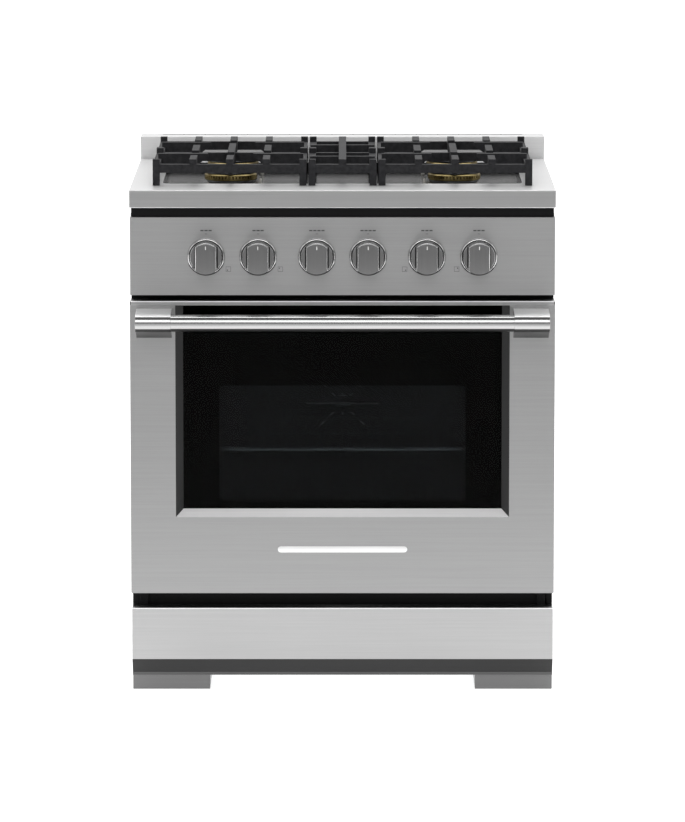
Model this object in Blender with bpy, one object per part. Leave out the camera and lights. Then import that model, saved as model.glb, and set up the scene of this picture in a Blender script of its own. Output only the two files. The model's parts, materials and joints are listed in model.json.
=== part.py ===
"""Freestanding gas range, 30 inch class, with a drop-down oven door, four burners and three grates.

Metres, +Z up.  The front faces -Y, and the origin is on the floor under the middle of the range.
Left and right are as seen from the front, so left is -X.  Depths are measured back from the
front face of the hob.
"""
import math

import bmesh
import bpy
from mathutils import Matrix, Vector

# ---- Overall
WIDTH = 0.759                 # hob and back trim
DEPTH = 0.674                 # front face of the hob to the rear of the back trim
HOB_TOP = 0.908               # hob surface above the floor
SHEET = 0.0015                # folded steel sheet
GAP = 0.0004                  # clearance between pieces that touch
BODY_INSET = 0.002            # cabinet sides, in from the hob's sides
REAR_INSET = 0.0165           # cabinet's rear, in front of the back trim's
FLANGE = 0.010                # folded edge of a side panel

# ---- Front, from the top down
HOB_EDGE = 0.032              # height of the hob's front face
VENT_STRIP = 0.017            # dark recess under the hob
PANEL_HEIGHT = 0.139          # control panel
DOOR_TOP_GAP = 0.0105
DOOR_BOTTOM = 0.182
KICK_TOP = 0.155
KICK_BEND = 0.062             # where the kick panel folds inwards
KICK_LIP = 0.0345
KICK_BOTTOM = 0.0290
KICK_TUCK = 0.022             # how far the folded part runs back
PANEL_SETBACK = 0.005
PANEL_INSET = 0.0015
PANEL_CLEAR = 0.0015          # panel's rear edge to the face frame
STRIP_SETBACK = 0.015

# ---- Hob
WELL_SIDE = 0.0565            # hob strip beside the spill tray
WELL_FRONT = 0.120
WELL_BACK = 0.084             # between the spill tray and the back trim
WELL_DEPTH = 0.014
TRIM_DEPTH = 0.070
TRIM_RISE = 0.041
TRIM_SLOT_INSET = 0.040       # vent slot, in from the trim's ends
TRIM_SLOT_WIDTH = 0.014
TRIM_SLOT_BACK = 0.010
BURNER_RADIUS = 0.0475
BURNER_RISE = 0.012           # top of the brass head above the hob
BURNER_FOOT_RADIUS = 0.036
BURNER_THROAT_RADIUS = 0.018
BURNER_THROAT_DROP = 0.028
CAP_INSET = 0.003             # cap's edge, in from the brass head's
CAP_THICKNESS = 0.0035

# ---- Grates
GRATE_FRONT = 0.090           # depth of the front bar's middle
GRATE_BACK = 0.066            # back bar's middle, in front of the back trim
GRATE_SIDE = 0.040            # outer edge, in from the hob's side
GRATE_BAR = 0.0126
GRATE_UNDER = 0.0227          # underside of the bars above the hob
GRATE_BAR_TOP = 0.038
GRATE_TOP = 0.047             # pan height above the hob
GRATE_SPLIT = 0.0035          # between two grates
CENTER_GRATE_HALF = 0.061
CENTER_BAR = 0.0135
FINGER_CLEAR_SIDE = 0.041     # burner centre to the tip of a sideways finger
FINGER_CLEAR_END = 0.034      # burner centre to the tip of a front or back finger
FINGER_CLEAR_MID = 0.022      # burner centre to the tip of the middle cross finger
FINGER_CLEAR_QUARTER = 0.055
TIP_SLOPE = 0.012
TIP_THICKNESS = 0.006
FINGER_ROOT = 0.005           # how far a finger runs into the bar it grows from
PAD_LENGTH = 0.022

# ---- Knobs
KNOB_RISE = 0.069             # knob centre above the panel's lower edge
KNOB_X = {"front_left": -0.2425, "rear_left": -0.150, "oven_function": -0.0455,
          "oven_temperature": 0.0455, "front_right": 0.150, "rear_right": 0.2425}
OVEN_KNOBS = ("oven_function", "oven_temperature")
BEZEL_RIM = 0.004             # bezel's outside, out from the dial's
BEZEL_HEIGHT = 0.009
BEZEL_RECESS = 0.006
DIAL_RADIUS = 0.030
DIAL_PLATE = 0.009
KNOB_HEIGHT = 0.036
GRIP_WIDTH = 0.0375
GRIP_STEP = 0.001             # grip's end, in from the dial's edge
STEM_RADIUS = 0.004
STEM_INTO_KNOB = 0.022
STEM_TRAVEL = 0.003           # push to turn
VALVE_WIDTH = 0.034
VALVE_CLEAR = 0.005           # face frame to the valve bodies
STEM_HOLE = 0.018             # square hole in the face frame for each stem
VALVE_LENGTH = 0.047          # valve's front to the middle of the rail
MANIFOLD_RADIUS = 0.0125

# ---- Oven door
DOOR_SETBACK = 0.006
DOOR_INSET = 0.00075
DOOR_THICKNESS = 0.042
DOOR_SHEET = 0.0012
DOOR_FRAME_GAP = 0.0035
DOOR_CAP = 0.008
DOOR_CAP_PROUD = 0.002
STILE = 0.08075               # door's side to the window recess
RECESS_RISE = 0.138           # door's bottom to the window recess
RECESS_BEVEL = 0.0135
RECESS_LEDGE = 0.012          # flange behind the recess that the glass rests on
GLASS = 0.004
PANE_SIDE = 0.158             # door's side to the see-through pane
PANE_RISE = 0.161
PANE_DROP = 0.1545            # door's top to the pane
HINGE_RISE = 0.008            # axis above the door's bottom
HINGE_DEPTH = 0.028           # axis behind the door's face
HINGE_SIDE = 0.0205           # hinge arm's middle, in from the cabinet's side
HINGE_ARM = 0.012
PIN_RADIUS = 0.004
PIN_LENGTH = 0.028
HINGE_CLEAR = 0.0012
POST_WIDTH = 0.015            # post under each hinge, and the slot for its arm
POST_DEPTH = 0.0075
POST_DROP = 0.045             # kick panel's top to the post's foot
POST_CLEAR = 0.001
HINGE_FLANGE = 0.036
HANDLE_REACH = 0.062
HANDLE_DROP = 0.0325          # door's top to the middle of the bar
HANDLE_RADIUS = 0.015
SLEEVE_WALL = 0.00125
BRACKET_END = 0.01175         # door's side to the bracket's outer end
BRACKET_LENGTH = 0.063
BRACKET_UP = 0.019
BRACKET_DOWN = 0.033
BRACKET_WALL = 0.006

# ---- Oven
CAVITY_SIDE = 0.0875          # cabinet's side to the oven's side
CAVITY_RISE = 0.0595          # door's bottom to the oven's floor
CAVITY_DROP = 0.0495          # door's top to the oven's ceiling
CAVITY_BACK = 0.114           # oven's rear wall, in front of the cabinet's rear
CAVITY_WALL = 0.002
LEDGE = 0.010
LEDGE_COUNT = 6
LEDGE_THICKNESS = 0.004
RACK_LEDGE = 2                # the ledge that holds the rack, from the bottom
RACK_THICKNESS = 0.005
RACK_WIRE = 0.004
RACK_WIRES = 12
RACK_FRONT = 0.046            # rack's front, behind the oven's mouth
RACK_BACK = 0.030
FAN_RADIUS = 0.068
FAN_THICKNESS = 0.010
FAN_BLADES = 8
FAN_HUB = 0.016
FAN_COVER_DEPTH = 0.020
FAN_COVER_HALF = 0.120
FAN_COVER_HEIGHT = 0.200
AIR_SLOTS = 7
AIR_SLOT_PITCH = 0.018
AIR_SLOT_HEIGHT = 0.006
BROIL_HALF = 0.150
BROIL_HEIGHT = 0.026
BROIL_RIM = 0.015
BROIL_RECESS = 0.008          # emitter face above the burner's lower edge
BROIL_FRONT = 0.070
BROIL_BACK = 0.080
SHAFT_HOLE = 0.006
FAN_SHAFT = 0.004

# ---- Base
BASE_BOTTOM = 0.0330
BASE_TOP = 0.0775
SKIRT_WIDTH = 0.139
SKIRT_CLEAR = 0.0007          # skirt's lower edge above the floor
SKIRT_LAP = 0.001             # skirt's front, ahead of the kick panel's rear
SKIRT_DEPTH = 0.150
LEG_SIDE = 0.068
LEG_FRONT = 0.117
LEG_BACK = 0.072
STUD_RADIUS = 0.006
FOOT_RADIUS = 0.022
FOOT_HEIGHT = 0.012
BOSS_RADIUS = 0.014

# ---- Connections at the back
INLET_RISE = 0.125
INLET_X = 0.250
NIPPLE_RADIUS = 0.0105
NIPPLE_PROUD = 0.0145         # out of the back panel
NIPPLE_INSIDE = 0.030
ELBOW_LENGTH = 0.028
RISER_HEIGHT = 0.060
POWER_SIZE = (0.048, 0.014, 0.032)
SOCKET_WIDTH = 0.026
SOCKET_HEIGHT = 0.018
SOCKET_FLOOR = 0.004

# ---- Places that follow from the sizes above
HALF = WIDTH / 2
BODY = HALF - BODY_INSET
PANEL = HALF - PANEL_INSET
DOOR = HALF - DOOR_INSET
SLEEVE_RADIUS = HANDLE_RADIUS + SLEEVE_WALL
FRONT = (HANDLE_REACH + SLEEVE_RADIUS - DOOR_SETBACK - DEPTH) / 2
HOB_UNDER = HOB_TOP - HOB_EDGE
PANEL_TOP = HOB_UNDER - VENT_STRIP
PANEL_BOTTOM = PANEL_TOP - PANEL_HEIGHT
DOOR_TOP = PANEL_BOTTOM - DOOR_TOP_GAP
TRIM_FRONT = DEPTH - TRIM_DEPTH
FRAME_FRONT = DOOR_SETBACK + DOOR_THICKNESS + DOOR_FRAME_GAP
FRAME_BACK = FRAME_FRONT + SHEET
PANEL_REAR = FRAME_FRONT - PANEL_CLEAR
KICK_REAR = FRAME_FRONT - POST_DEPTH - POST_CLEAR
SKIRT_FRONT = KICK_REAR - SKIRT_LAP
VALVE_FRONT = FRAME_BACK + VALVE_CLEAR
MANIFOLD_DEPTH = VALVE_FRONT + VALVE_LENGTH
SIDE_FRONT = FRAME_BACK + GAP
CABINET_BACK = DEPTH - REAR_INSET
WELL_HALF = HALF - WELL_SIDE
WELL_REAR = TRIM_FRONT - WELL_BACK
GRATE_REAR = TRIM_FRONT - GRATE_BACK
GRATE_MIDDLE = (GRATE_FRONT + GRATE_REAR) / 2
BURNER_DEPTHS = {"front": (GRATE_FRONT + GRATE_MIDDLE) / 2, "rear": (GRATE_MIDDLE + GRATE_REAR) / 2}
SIDE_GRATE_INNER = CENTER_GRATE_HALF + GRATE_SPLIT
SIDE_GRATE_OUTER = HALF - GRATE_SIDE
BURNER_X = (SIDE_GRATE_INNER + SIDE_GRATE_OUTER) / 2
KNOB_Z = PANEL_BOTTOM + KNOB_RISE
BEZEL_RADIUS = DIAL_RADIUS + BEZEL_RIM
GRIP_RADIUS = DIAL_RADIUS - GRIP_STEP
CAP_RADIUS = BURNER_RADIUS - CAP_INSET
PANE_TOP = DOOR_TOP - PANE_DROP
HINGE_X = BODY - HINGE_SIDE
HINGE_Z = DOOR_BOTTOM + HINGE_RISE
CAVITY_HALF = BODY - CAVITY_SIDE
CAVITY_FLOOR = DOOR_BOTTOM + CAVITY_RISE
CAVITY_CEILING = DOOR_TOP - CAVITY_DROP
CAVITY_FRONT = FRAME_BACK + GAP
CAVITY_REAR = DEPTH - CAVITY_BACK
LEDGE_STEP = (CAVITY_CEILING - CAVITY_FLOOR) / (LEDGE_COUNT + 1)
RACK_Z = CAVITY_FLOOR + (RACK_LEDGE + 1) * LEDGE_STEP + LEDGE_THICKNESS + GAP
FAN_Z = (CAVITY_FLOOR + CAVITY_CEILING) / 2
LEG_X = BODY - LEG_SIDE
SIDES = {"left": -1, "right": 1}


def back(depth):
    """Y of a plane this far behind the hob's front face."""
    return FRONT + depth


# ---------------------------------------------------------------- helpers

def clear_scene():
    for obj in list(bpy.data.objects):
        bpy.data.objects.remove(obj)


def material(name, colour, roughness, metallic):
    made = bpy.data.materials.new(name)
    made.use_nodes = True
    shader = made.node_tree.nodes["Principled BSDF"]
    shader.inputs["Base Color"].default_value = (*colour, 1.0)
    shader.inputs["Roughness"].default_value = roughness
    shader.inputs["Metallic"].default_value = metallic
    return made


def add_object(name, shape, finish=None):
    """Turn a bmesh into an object with outward faces; without a finish it is a hidden helper."""
    bmesh.ops.recalc_face_normals(shape, faces=shape.faces)
    mesh = bpy.data.meshes.new(name)
    shape.to_mesh(mesh)
    shape.free()
    obj = bpy.data.objects.new(name, mesh)
    bpy.context.scene.collection.objects.link(obj)
    if finish is None:
        obj.hide_render = True
        obj.display_type = "WIRE"
    else:
        mesh.materials.append(finish)
    return obj


def add_box(name, x, y, z, finish=None):
    """A box between two values on each axis."""
    shape = bmesh.new()
    bmesh.ops.create_cube(shape, size=1.0)
    spans = [(min(pair), max(pair)) for pair in (x, y, z)]
    scale = Matrix.Diagonal([high - low for low, high in spans] + [1.0])
    centre = Matrix.Translation([(low + high) / 2 for low, high in spans])
    bmesh.ops.transform(shape, matrix=centre @ scale, verts=shape.verts)
    return add_object(name, shape, finish)


def add_prism(name, outline, axis, span, finish=None):
    """An outline drawn across an axis and extruded along it."""
    orders = {"X": lambda u, v, w: (w, u, v), "Y": lambda u, v, w: (u, w, v), "Z": lambda u, v, w: (u, v, w)}
    place = orders[axis]
    shape = bmesh.new()
    face = shape.faces.new([shape.verts.new(place(u, v, span[0])) for u, v in outline])
    grown = bmesh.ops.extrude_face_region(shape, geom=[face])["geom"]
    moved = [part for part in grown if isinstance(part, bmesh.types.BMVert)]
    bmesh.ops.translate(shape, vec=place(0.0, 0.0, span[1] - span[0]), verts=moved)
    return add_object(name, shape, finish)


def add_turned(name, profile, centre, towards, finish=None, steps=24):
    """A profile of (radius, height) from axis to axis, turned about a line through the centre."""
    shape = bmesh.new()
    rings = []
    for radius, height in profile:
        if radius == 0.0:
            rings.append([shape.verts.new((0.0, 0.0, height))])
            continue
        angles = [2 * math.pi * step / steps for step in range(steps)]
        rings.append([shape.verts.new((radius * math.cos(a), radius * math.sin(a), height)) for a in angles])
    for low, high in zip(rings, rings[1:]):
        for step in range(steps):
            after = (step + 1) % steps
            corners = [low[step % len(low)], low[after % len(low)],
                       high[after % len(high)], high[step % len(high)]]
            shape.faces.new(list(dict.fromkeys(corners)))
    turn = Vector((0, 0, 1)).rotation_difference(Vector(towards)).to_matrix().to_4x4()
    bmesh.ops.transform(shape, matrix=Matrix.Translation(centre) @ turn, verts=shape.verts)
    return smooth(add_object(name, shape, finish))


def add_rod(name, radius, start, end, finish=None, steps=16):
    """A round bar between two points."""
    along = Vector(end) - Vector(start)
    profile = [(0.0, 0.0), (radius, 0.0), (radius, along.length), (0.0, along.length)]
    return add_turned(name, profile, start, along.normalized(), finish, steps)


def smooth(obj):
    obj.data.shade_smooth()
    obj.data.set_sharp_from_angle(angle=math.radians(30))
    return obj


def boolean(obj, operation, tools):
    for tool in tools:
        step = obj.modifiers.new(tool.name, "BOOLEAN")
        step.operation = operation
        step.solver = "EXACT"
        step.object = tool
    return obj


def join(obj, *tools):
    return boolean(obj, "UNION", tools)


def cut(obj, *tools):
    return boolean(obj, "DIFFERENCE", tools)


def add_pivot(name, point):
    pivot = bpy.data.objects.new(name, None)
    pivot.location = point
    pivot.empty_display_size = 0.03
    bpy.context.scene.collection.objects.link(pivot)
    return pivot


def hang(pivot, *pieces):
    """Parent pieces to a joint's empty and leave them where they are."""
    for piece in pieces:
        piece.parent = pivot
        piece.matrix_parent_inverse = Matrix.Translation(-pivot.location)


def mirrored(side, start, end):
    """The X span of a piece on one side of the middle."""
    return (side * start, side * end)


# ---------------------------------------------------------------- cabinet

def make_base(finish):
    """Pressed base with a boss for each levelling leg."""
    y = (back(SIDE_FRONT), back(CABINET_BACK))
    base = add_box("base_frame", (-BODY, BODY), y, (BASE_BOTTOM, BASE_TOP), finish)
    inner = add_box("base_hollow", (SHEET - BODY, BODY - SHEET), (y[0] + SHEET, y[1] - SHEET),
                    (BASE_BOTTOM - SHEET, BASE_TOP - SHEET))
    cut(base, inner)
    for name, x, y in leg_places():
        boss = add_rod(f"{name}_boss", BOSS_RADIUS, (x, y, BASE_BOTTOM + SHEET), (x, y, BASE_TOP - SHEET / 2))
        bore = add_rod(f"{name}_bore", STUD_RADIUS + GAP, (x, y, 0.0), (x, y, HOB_TOP))
        join(base, boss)
        cut(base, bore)


def leg_places():
    for side, sign in SIDES.items():
        yield f"front_{side}", sign * LEG_X, back(LEG_FRONT)
        yield f"rear_{side}", sign * LEG_X, back(CABINET_BACK - LEG_BACK)


def make_legs(finish):
    """Screwed feet that carry the range on the floor."""
    for name, x, y in leg_places():
        top = BASE_TOP - SHEET
        profile = [(0, 0), (FOOT_RADIUS, 0), (FOOT_RADIUS, FOOT_HEIGHT * 0.7),
                   (STUD_RADIUS * 1.6, FOOT_HEIGHT), (STUD_RADIUS, FOOT_HEIGHT), (STUD_RADIUS, top), (0, top)]
        pivot = add_pivot(f"leg_axis_{name}", (x, y, 0))
        hang(pivot, add_turned(f"levelling_leg_{name}", profile, (x, y, 0), (0, 0, 1), finish, 16))


def make_sides(finish):
    """Cabinet sides with a folded flange along the front and the rear."""
    front, rear = back(SIDE_FRONT), back(CABINET_BACK - SHEET - GAP)
    for side, sign in SIDES.items():
        outer, inner, edge = sign * BODY, sign * (BODY - SHEET), sign * (BODY - FLANGE)
        outline = [(outer, front), (outer, rear), (edge, rear), (edge, rear - SHEET), (inner, rear - SHEET),
                   (inner, front + SHEET), (edge, front + SHEET), (edge, front)]
        add_prism(f"side_panel_{side}", outline, "Z", (BASE_TOP + GAP, HOB_UNDER - GAP), finish)


def make_back(finish):
    """Rear panel with the hole for the gas nipple."""
    rear = back(CABINET_BACK)
    panel = add_box("back_panel", (-BODY, BODY), (rear - SHEET, rear),
                    (BASE_TOP + GAP, HOB_UNDER - GAP), finish)
    hole = add_rod("nipple_hole", NIPPLE_RADIUS + 2 * GAP, (INLET_X, rear - 0.02, INLET_RISE),
                   (INLET_X, rear + 0.02, INLET_RISE))
    cut(panel, hole)


def make_front_frame(finish):
    """Face frame: oven mouth, a hole for each valve stem, dark strip under the hob and hinge posts."""
    y = (back(FRAME_FRONT), back(FRAME_BACK))
    through = (y[0] - 0.01, y[1] + 0.01)
    frame = add_box("front_frame", (-BODY, BODY), y, (BASE_TOP + GAP, HOB_UNDER - GAP), finish)
    strip = add_box("vent_strip", (SHEET - BODY, BODY - SHEET), (back(STRIP_SETBACK), y[1] - SHEET / 2),
                    (PANEL_TOP + GAP, HOB_UNDER - GAP))
    join(frame, strip)
    mouth = add_box("oven_mouth", (-CAVITY_HALF, CAVITY_HALF), through, (CAVITY_FLOOR, CAVITY_CEILING))
    cut(frame, mouth)
    for name, x in KNOB_X.items():
        half = STEM_HOLE / 2
        hole = add_box(f"stem_hole_{name}", (x - half, x + half), through, (KNOB_Z - half, KNOB_Z + half))
        cut(frame, hole)
    for side, sign in SIDES.items():
        wide = mirrored(sign, HINGE_X - POST_WIDTH / 2, HINGE_X + POST_WIDTH / 2)
        post = add_box(f"hinge_post_{side}", wide, (back(FRAME_FRONT - POST_DEPTH), y[1] - SHEET / 2),
                       (KICK_TOP - POST_DROP, DOOR_BOTTOM - POST_CLEAR))
        slot = add_box(f"hinge_slot_{side}", wide, through,
                       (HINGE_Z - POST_WIDTH / 2, HINGE_Z + POST_WIDTH / 2))
        join(frame, post)
        cut(frame, slot)


def make_kick_panel(finish):
    """Folded toe panel: upright face, tucked-in lower band and a bottom lip."""
    front, rear = back(PANEL_SETBACK), back(KICK_REAR)
    tuck = front + KICK_TUCK
    outer = [(front, KICK_TOP), (front, KICK_BEND), (tuck, KICK_LIP), (tuck, KICK_BOTTOM),
             (rear, KICK_BOTTOM), (rear, KICK_TOP)]
    inner = [(front + SHEET, KICK_TOP - SHEET), (front + SHEET, KICK_BEND + SHEET / 2),
             (tuck + SHEET, KICK_LIP + SHEET / 2), (tuck + SHEET, KICK_BOTTOM + SHEET),
             (rear + SHEET, KICK_BOTTOM + SHEET), (rear + SHEET, KICK_TOP - SHEET)]
    panel = add_prism("kick_panel", outer, "X", (-BODY, BODY), finish)
    cut(panel, add_prism("kick_hollow", inner, "X", (SHEET - BODY, BODY - SHEET)))


def make_skirts(finish):
    """Channel-shaped covers that hide the front legs."""
    front, rear = back(SKIRT_FRONT), back(SKIRT_FRONT + SKIRT_DEPTH)
    for side, sign in SIDES.items():
        outer, inner = sign * BODY, sign * (BODY - SKIRT_WIDTH)
        fold = sign * SHEET
        outline = [(outer, front), (outer, rear), (outer - fold, rear), (outer - fold, front + SHEET),
                   (inner + fold, front + SHEET), (inner + fold, rear), (inner, rear), (inner, front)]
        add_prism(f"leg_skirt_{side}", outline, "Z", (SKIRT_CLEAR, KICK_BOTTOM - 2 * GAP), finish)


def make_connections(brass, plastic):
    """Gas nipple with its inner elbow, and the box for the mains inlet."""
    rear = back(CABINET_BACK)
    inside = rear - NIPPLE_INSIDE
    elbow_end = inside - 0.010
    inlet = add_rod("gas_inlet", NIPPLE_RADIUS, (INLET_X, inside, INLET_RISE),
                    (INLET_X, rear + NIPPLE_PROUD, INLET_RISE), brass)
    elbow = add_rod("gas_elbow", NIPPLE_RADIUS * 1.5, (INLET_X, elbow_end, INLET_RISE),
                    (INLET_X, elbow_end + ELBOW_LENGTH, INLET_RISE))
    riser = add_rod("gas_riser", NIPPLE_RADIUS, (INLET_X, inside + 0.002, INLET_RISE),
                    (INLET_X, inside + 0.002, INLET_RISE + RISER_HEIGHT))
    join(inlet, elbow, riser)
    width, depth, height = POWER_SIZE
    box = add_box("power_inlet", (-INLET_X - width / 2, width / 2 - INLET_X), (rear + GAP, rear + depth),
                  (INLET_RISE - height / 2, INLET_RISE + height / 2), plastic)
    socket = add_box("inlet_socket", (-INLET_X - SOCKET_WIDTH / 2, SOCKET_WIDTH / 2 - INLET_X),
                     (rear + SOCKET_FLOOR, rear + depth + 0.006),
                     (INLET_RISE - SOCKET_HEIGHT / 2, INLET_RISE + SOCKET_HEIGHT / 2))
    cut(box, socket)


# ---------------------------------------------------------------- hob

def burner_places():
    for side, sign in SIDES.items():
        for row, depth in BURNER_DEPTHS.items():
            yield f"{row}_{side}", sign * BURNER_X, back(depth)


def make_cooktop(finish):
    """Pressed hob with a sunk spill tray and a throat hole for each burner."""
    rear = TRIM_FRONT - GAP
    top = add_box("cooktop", (-HALF, HALF), (back(0), back(rear)), (HOB_UNDER, HOB_TOP), finish)
    under = add_box("cooktop_hollow", (SHEET - HALF, HALF - SHEET), (back(SHEET), back(rear - SHEET)),
                    (HOB_UNDER - SHEET, HOB_TOP - SHEET))
    tray = add_box("tray_shell", (-WELL_HALF - SHEET, WELL_HALF + SHEET),
                   (back(WELL_FRONT - SHEET), back(WELL_REAR + SHEET)),
                   (HOB_TOP - WELL_DEPTH - SHEET, HOB_TOP - SHEET / 2))
    well = add_box("tray_hollow", (-WELL_HALF, WELL_HALF), (back(WELL_FRONT), back(WELL_REAR)),
                   (HOB_TOP - WELL_DEPTH, HOB_TOP + SHEET))
    cut(top, under)
    join(top, tray)
    cut(top, well)
    for name, x, y in burner_places():
        throat = add_rod(f"throat_{name}", BURNER_THROAT_RADIUS + 2 * GAP, (x, y, HOB_UNDER - 0.05),
                         (x, y, HOB_TOP))
        cut(top, throat)


def make_back_trim(finish):
    """Low rear upstand, open below, with the oven's flue slot along its top."""
    y = (back(TRIM_FRONT), back(DEPTH))
    top = HOB_TOP + TRIM_RISE
    trim = add_box("back_trim", (-HALF, HALF), y, (HOB_UNDER, top), finish)
    under = add_box("trim_hollow", (SHEET - HALF, HALF - SHEET), (y[0] + SHEET, y[1] - SHEET),
                    (HOB_UNDER - SHEET, top - SHEET))
    slot = add_box("flue_slot", (TRIM_SLOT_INSET - HALF, HALF - TRIM_SLOT_INSET),
                   (y[1] - TRIM_SLOT_BACK - TRIM_SLOT_WIDTH, y[1] - TRIM_SLOT_BACK), (top - 0.01, top + 0.01))
    cut(trim, under, slot)


def make_burners(brass, enamel):
    """Brass heads on the spill tray, each with its throat below and its loose cap on top."""
    tray = HOB_TOP - WELL_DEPTH + GAP
    head_top = HOB_TOP + BURNER_RISE
    for name, x, y in burner_places():
        head = [(0, tray - BURNER_THROAT_DROP), (BURNER_THROAT_RADIUS, tray - BURNER_THROAT_DROP),
                (BURNER_THROAT_RADIUS, tray), (BURNER_FOOT_RADIUS, tray), (BURNER_FOOT_RADIUS, tray + 0.006),
                (BURNER_RADIUS, HOB_TOP + 0.003), (BURNER_RADIUS, head_top - 0.002),
                (BURNER_RADIUS - 0.003, head_top), (0, head_top)]
        add_turned(f"burner_head_{name}", head, (x, y, 0), (0, 0, 1), brass)
        under = head_top + GAP
        cap = [(0, under), (CAP_RADIUS, under), (CAP_RADIUS, under + CAP_THICKNESS * 0.6),
               (CAP_RADIUS - 0.004, under + CAP_THICKNESS), (0, under + CAP_THICKNESS)]
        add_turned(f"burner_cap_{name}", cap, (x, y, 0), (0, 0, 1), enamel)


# ---------------------------------------------------------------- grates

def bar_x(name, x, depth, top=GRATE_BAR_TOP, finish=None):
    """A bar that runs from side to side."""
    y = back(depth)
    return add_box(name, x, (y - GRATE_BAR / 2, y + GRATE_BAR / 2),
                   (HOB_TOP + GRATE_UNDER, HOB_TOP + top), finish)


def bar_y(name, x, depths, top=GRATE_BAR_TOP, width=GRATE_BAR):
    """A bar that runs from front to back."""
    return add_box(name, (x - width / 2, x + width / 2), [back(depth) for depth in depths],
                   (HOB_TOP + GRATE_UNDER, HOB_TOP + top))


def finger_x(name, root, tip, depth):
    """A sideways finger whose underside rises to a thin tip."""
    sign = math.copysign(1.0, tip - root)
    under, top = HOB_TOP + GRATE_UNDER, HOB_TOP + GRATE_TOP
    outline = [(root, under), (tip - sign * 2 * TIP_SLOPE, under), (tip, top - TIP_THICKNESS),
               (tip, top), (root, top)]
    y = back(depth)
    return add_prism(name, outline, "Y", (y - GRATE_BAR / 2, y + GRATE_BAR / 2))


def pad_span():
    """Depths of the raised pad at the middle of a grate's side."""
    return GRATE_MIDDLE - PAD_LENGTH / 2, GRATE_MIDDLE + PAD_LENGTH / 2


def grate_legs(name, x_pair):
    """Corner legs from the bars down to the hob, and the raised pad over each."""
    for index, (x, depth) in enumerate((x, depth) for x in x_pair for depth in (GRATE_FRONT, GRATE_REAR)):
        y = back(depth)
        yield add_box(f"{name}_leg_{index}", (x - GRATE_BAR / 2, x + GRATE_BAR / 2),
                      (y - GRATE_BAR / 2 - 0.001, y + GRATE_BAR / 2 - 0.001),
                      (HOB_TOP + GAP, HOB_TOP + GRATE_TOP))


def make_side_grate(side, sign, finish):
    name = f"grate_{side}"
    inner, outer = SIDE_GRATE_INNER + GRATE_BAR / 2, SIDE_GRATE_OUTER - GRATE_BAR / 2
    span = mirrored(sign, SIDE_GRATE_INNER, SIDE_GRATE_OUTER)
    grate = bar_x(name, span, GRATE_FRONT, finish=finish)
    parts = [bar_x(f"{name}_middle_bar", span, GRATE_MIDDLE), bar_x(f"{name}_back_bar", span, GRATE_REAR)]
    for label, x in (("inner", inner), ("outer", outer)):
        parts.append(bar_y(f"{name}_{label}_side", sign * x, (GRATE_FRONT, GRATE_REAR)))
        parts.append(bar_y(f"{name}_{label}_pad", sign * x, pad_span(), GRATE_TOP))
    quarter = (outer - inner) / 4
    for step in (-1, 0, 1):
        x = sign * (BURNER_X + step * quarter)
        clear = FINGER_CLEAR_QUARTER if step else FINGER_CLEAR_MID
        front, rear = BURNER_DEPTHS["front"], BURNER_DEPTHS["rear"]
        spans = {"front": (GRATE_FRONT - FINGER_ROOT, front - FINGER_CLEAR_END),
                 "middle": (front + clear, rear - clear),
                 "back": (rear + FINGER_CLEAR_END, GRATE_REAR + FINGER_ROOT)}
        parts += [bar_y(f"{name}_{place}_finger_{step}", x, depths, GRATE_TOP) for place, depths in spans.items()]
    for row, depth in BURNER_DEPTHS.items():
        for label, root, reach in (("inner", inner, -1), ("outer", outer, 1)):
            tip = BURNER_X + reach * FINGER_CLEAR_SIDE
            parts.append(finger_x(f"{name}_{row}_{label}_finger", sign * root, sign * tip, depth))
    parts += grate_legs(name, (sign * inner, sign * outer))
    lift_out(join(grate, *parts), (sign * BURNER_X, back(GRATE_MIDDLE), HOB_TOP))


def make_center_grate(finish):
    name = "grate_center"
    edge = CENTER_GRATE_HALF
    grate = bar_x(name, (-edge, edge), GRATE_FRONT, finish=finish)
    parts = [bar_x(f"{name}_middle_bar", (-edge, edge), GRATE_MIDDLE),
             bar_x(f"{name}_back_bar", (-edge, edge), GRATE_REAR),
             bar_y(f"{name}_spine", 0, (GRATE_FRONT - 0.004, GRATE_REAR + 0.004), GRATE_TOP, CENTER_BAR)]
    for side, sign in SIDES.items():
        x = sign * (edge - GRATE_BAR / 2)
        parts.append(bar_y(f"{name}_{side}_side", x, (GRATE_FRONT, GRATE_REAR)))
        parts.append(bar_y(f"{name}_{side}_pad", x, pad_span(), GRATE_TOP))
    for row, depth in BURNER_DEPTHS.items():
        parts.append(bar_x(f"{name}_{row}_bar", (0.002 - edge, edge - 0.002), depth, GRATE_BAR_TOP + 0.004))
    parts += grate_legs(name, (GRATE_BAR / 2 - edge, edge - GRATE_BAR / 2))
    lift_out(join(grate, *parts), (0, back(GRATE_MIDDLE), HOB_TOP))


def lift_out(grate, point):
    hang(add_pivot(f"{grate.name}_axis", point), grate)


# ---------------------------------------------------------------- control panel

def make_control_panel(finish):
    front, rear = back(PANEL_SETBACK), back(PANEL_REAR)
    panel = add_box("control_panel", (-PANEL, PANEL), (front, rear), (PANEL_BOTTOM, PANEL_TOP), finish)
    hollow = add_box("panel_hollow", (SHEET - PANEL, PANEL - SHEET), (front + SHEET, rear + SHEET),
                     (PANEL_BOTTOM + SHEET, PANEL_TOP - SHEET))
    cut(panel, hollow)
    for name, x in KNOB_X.items():
        hole = add_rod(f"panel_hole_{name}", STEM_RADIUS + 2 * GAP, (x, front - 0.01, KNOB_Z),
                       (x, front + 0.01, KNOB_Z))
        cut(panel, hole)


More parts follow.
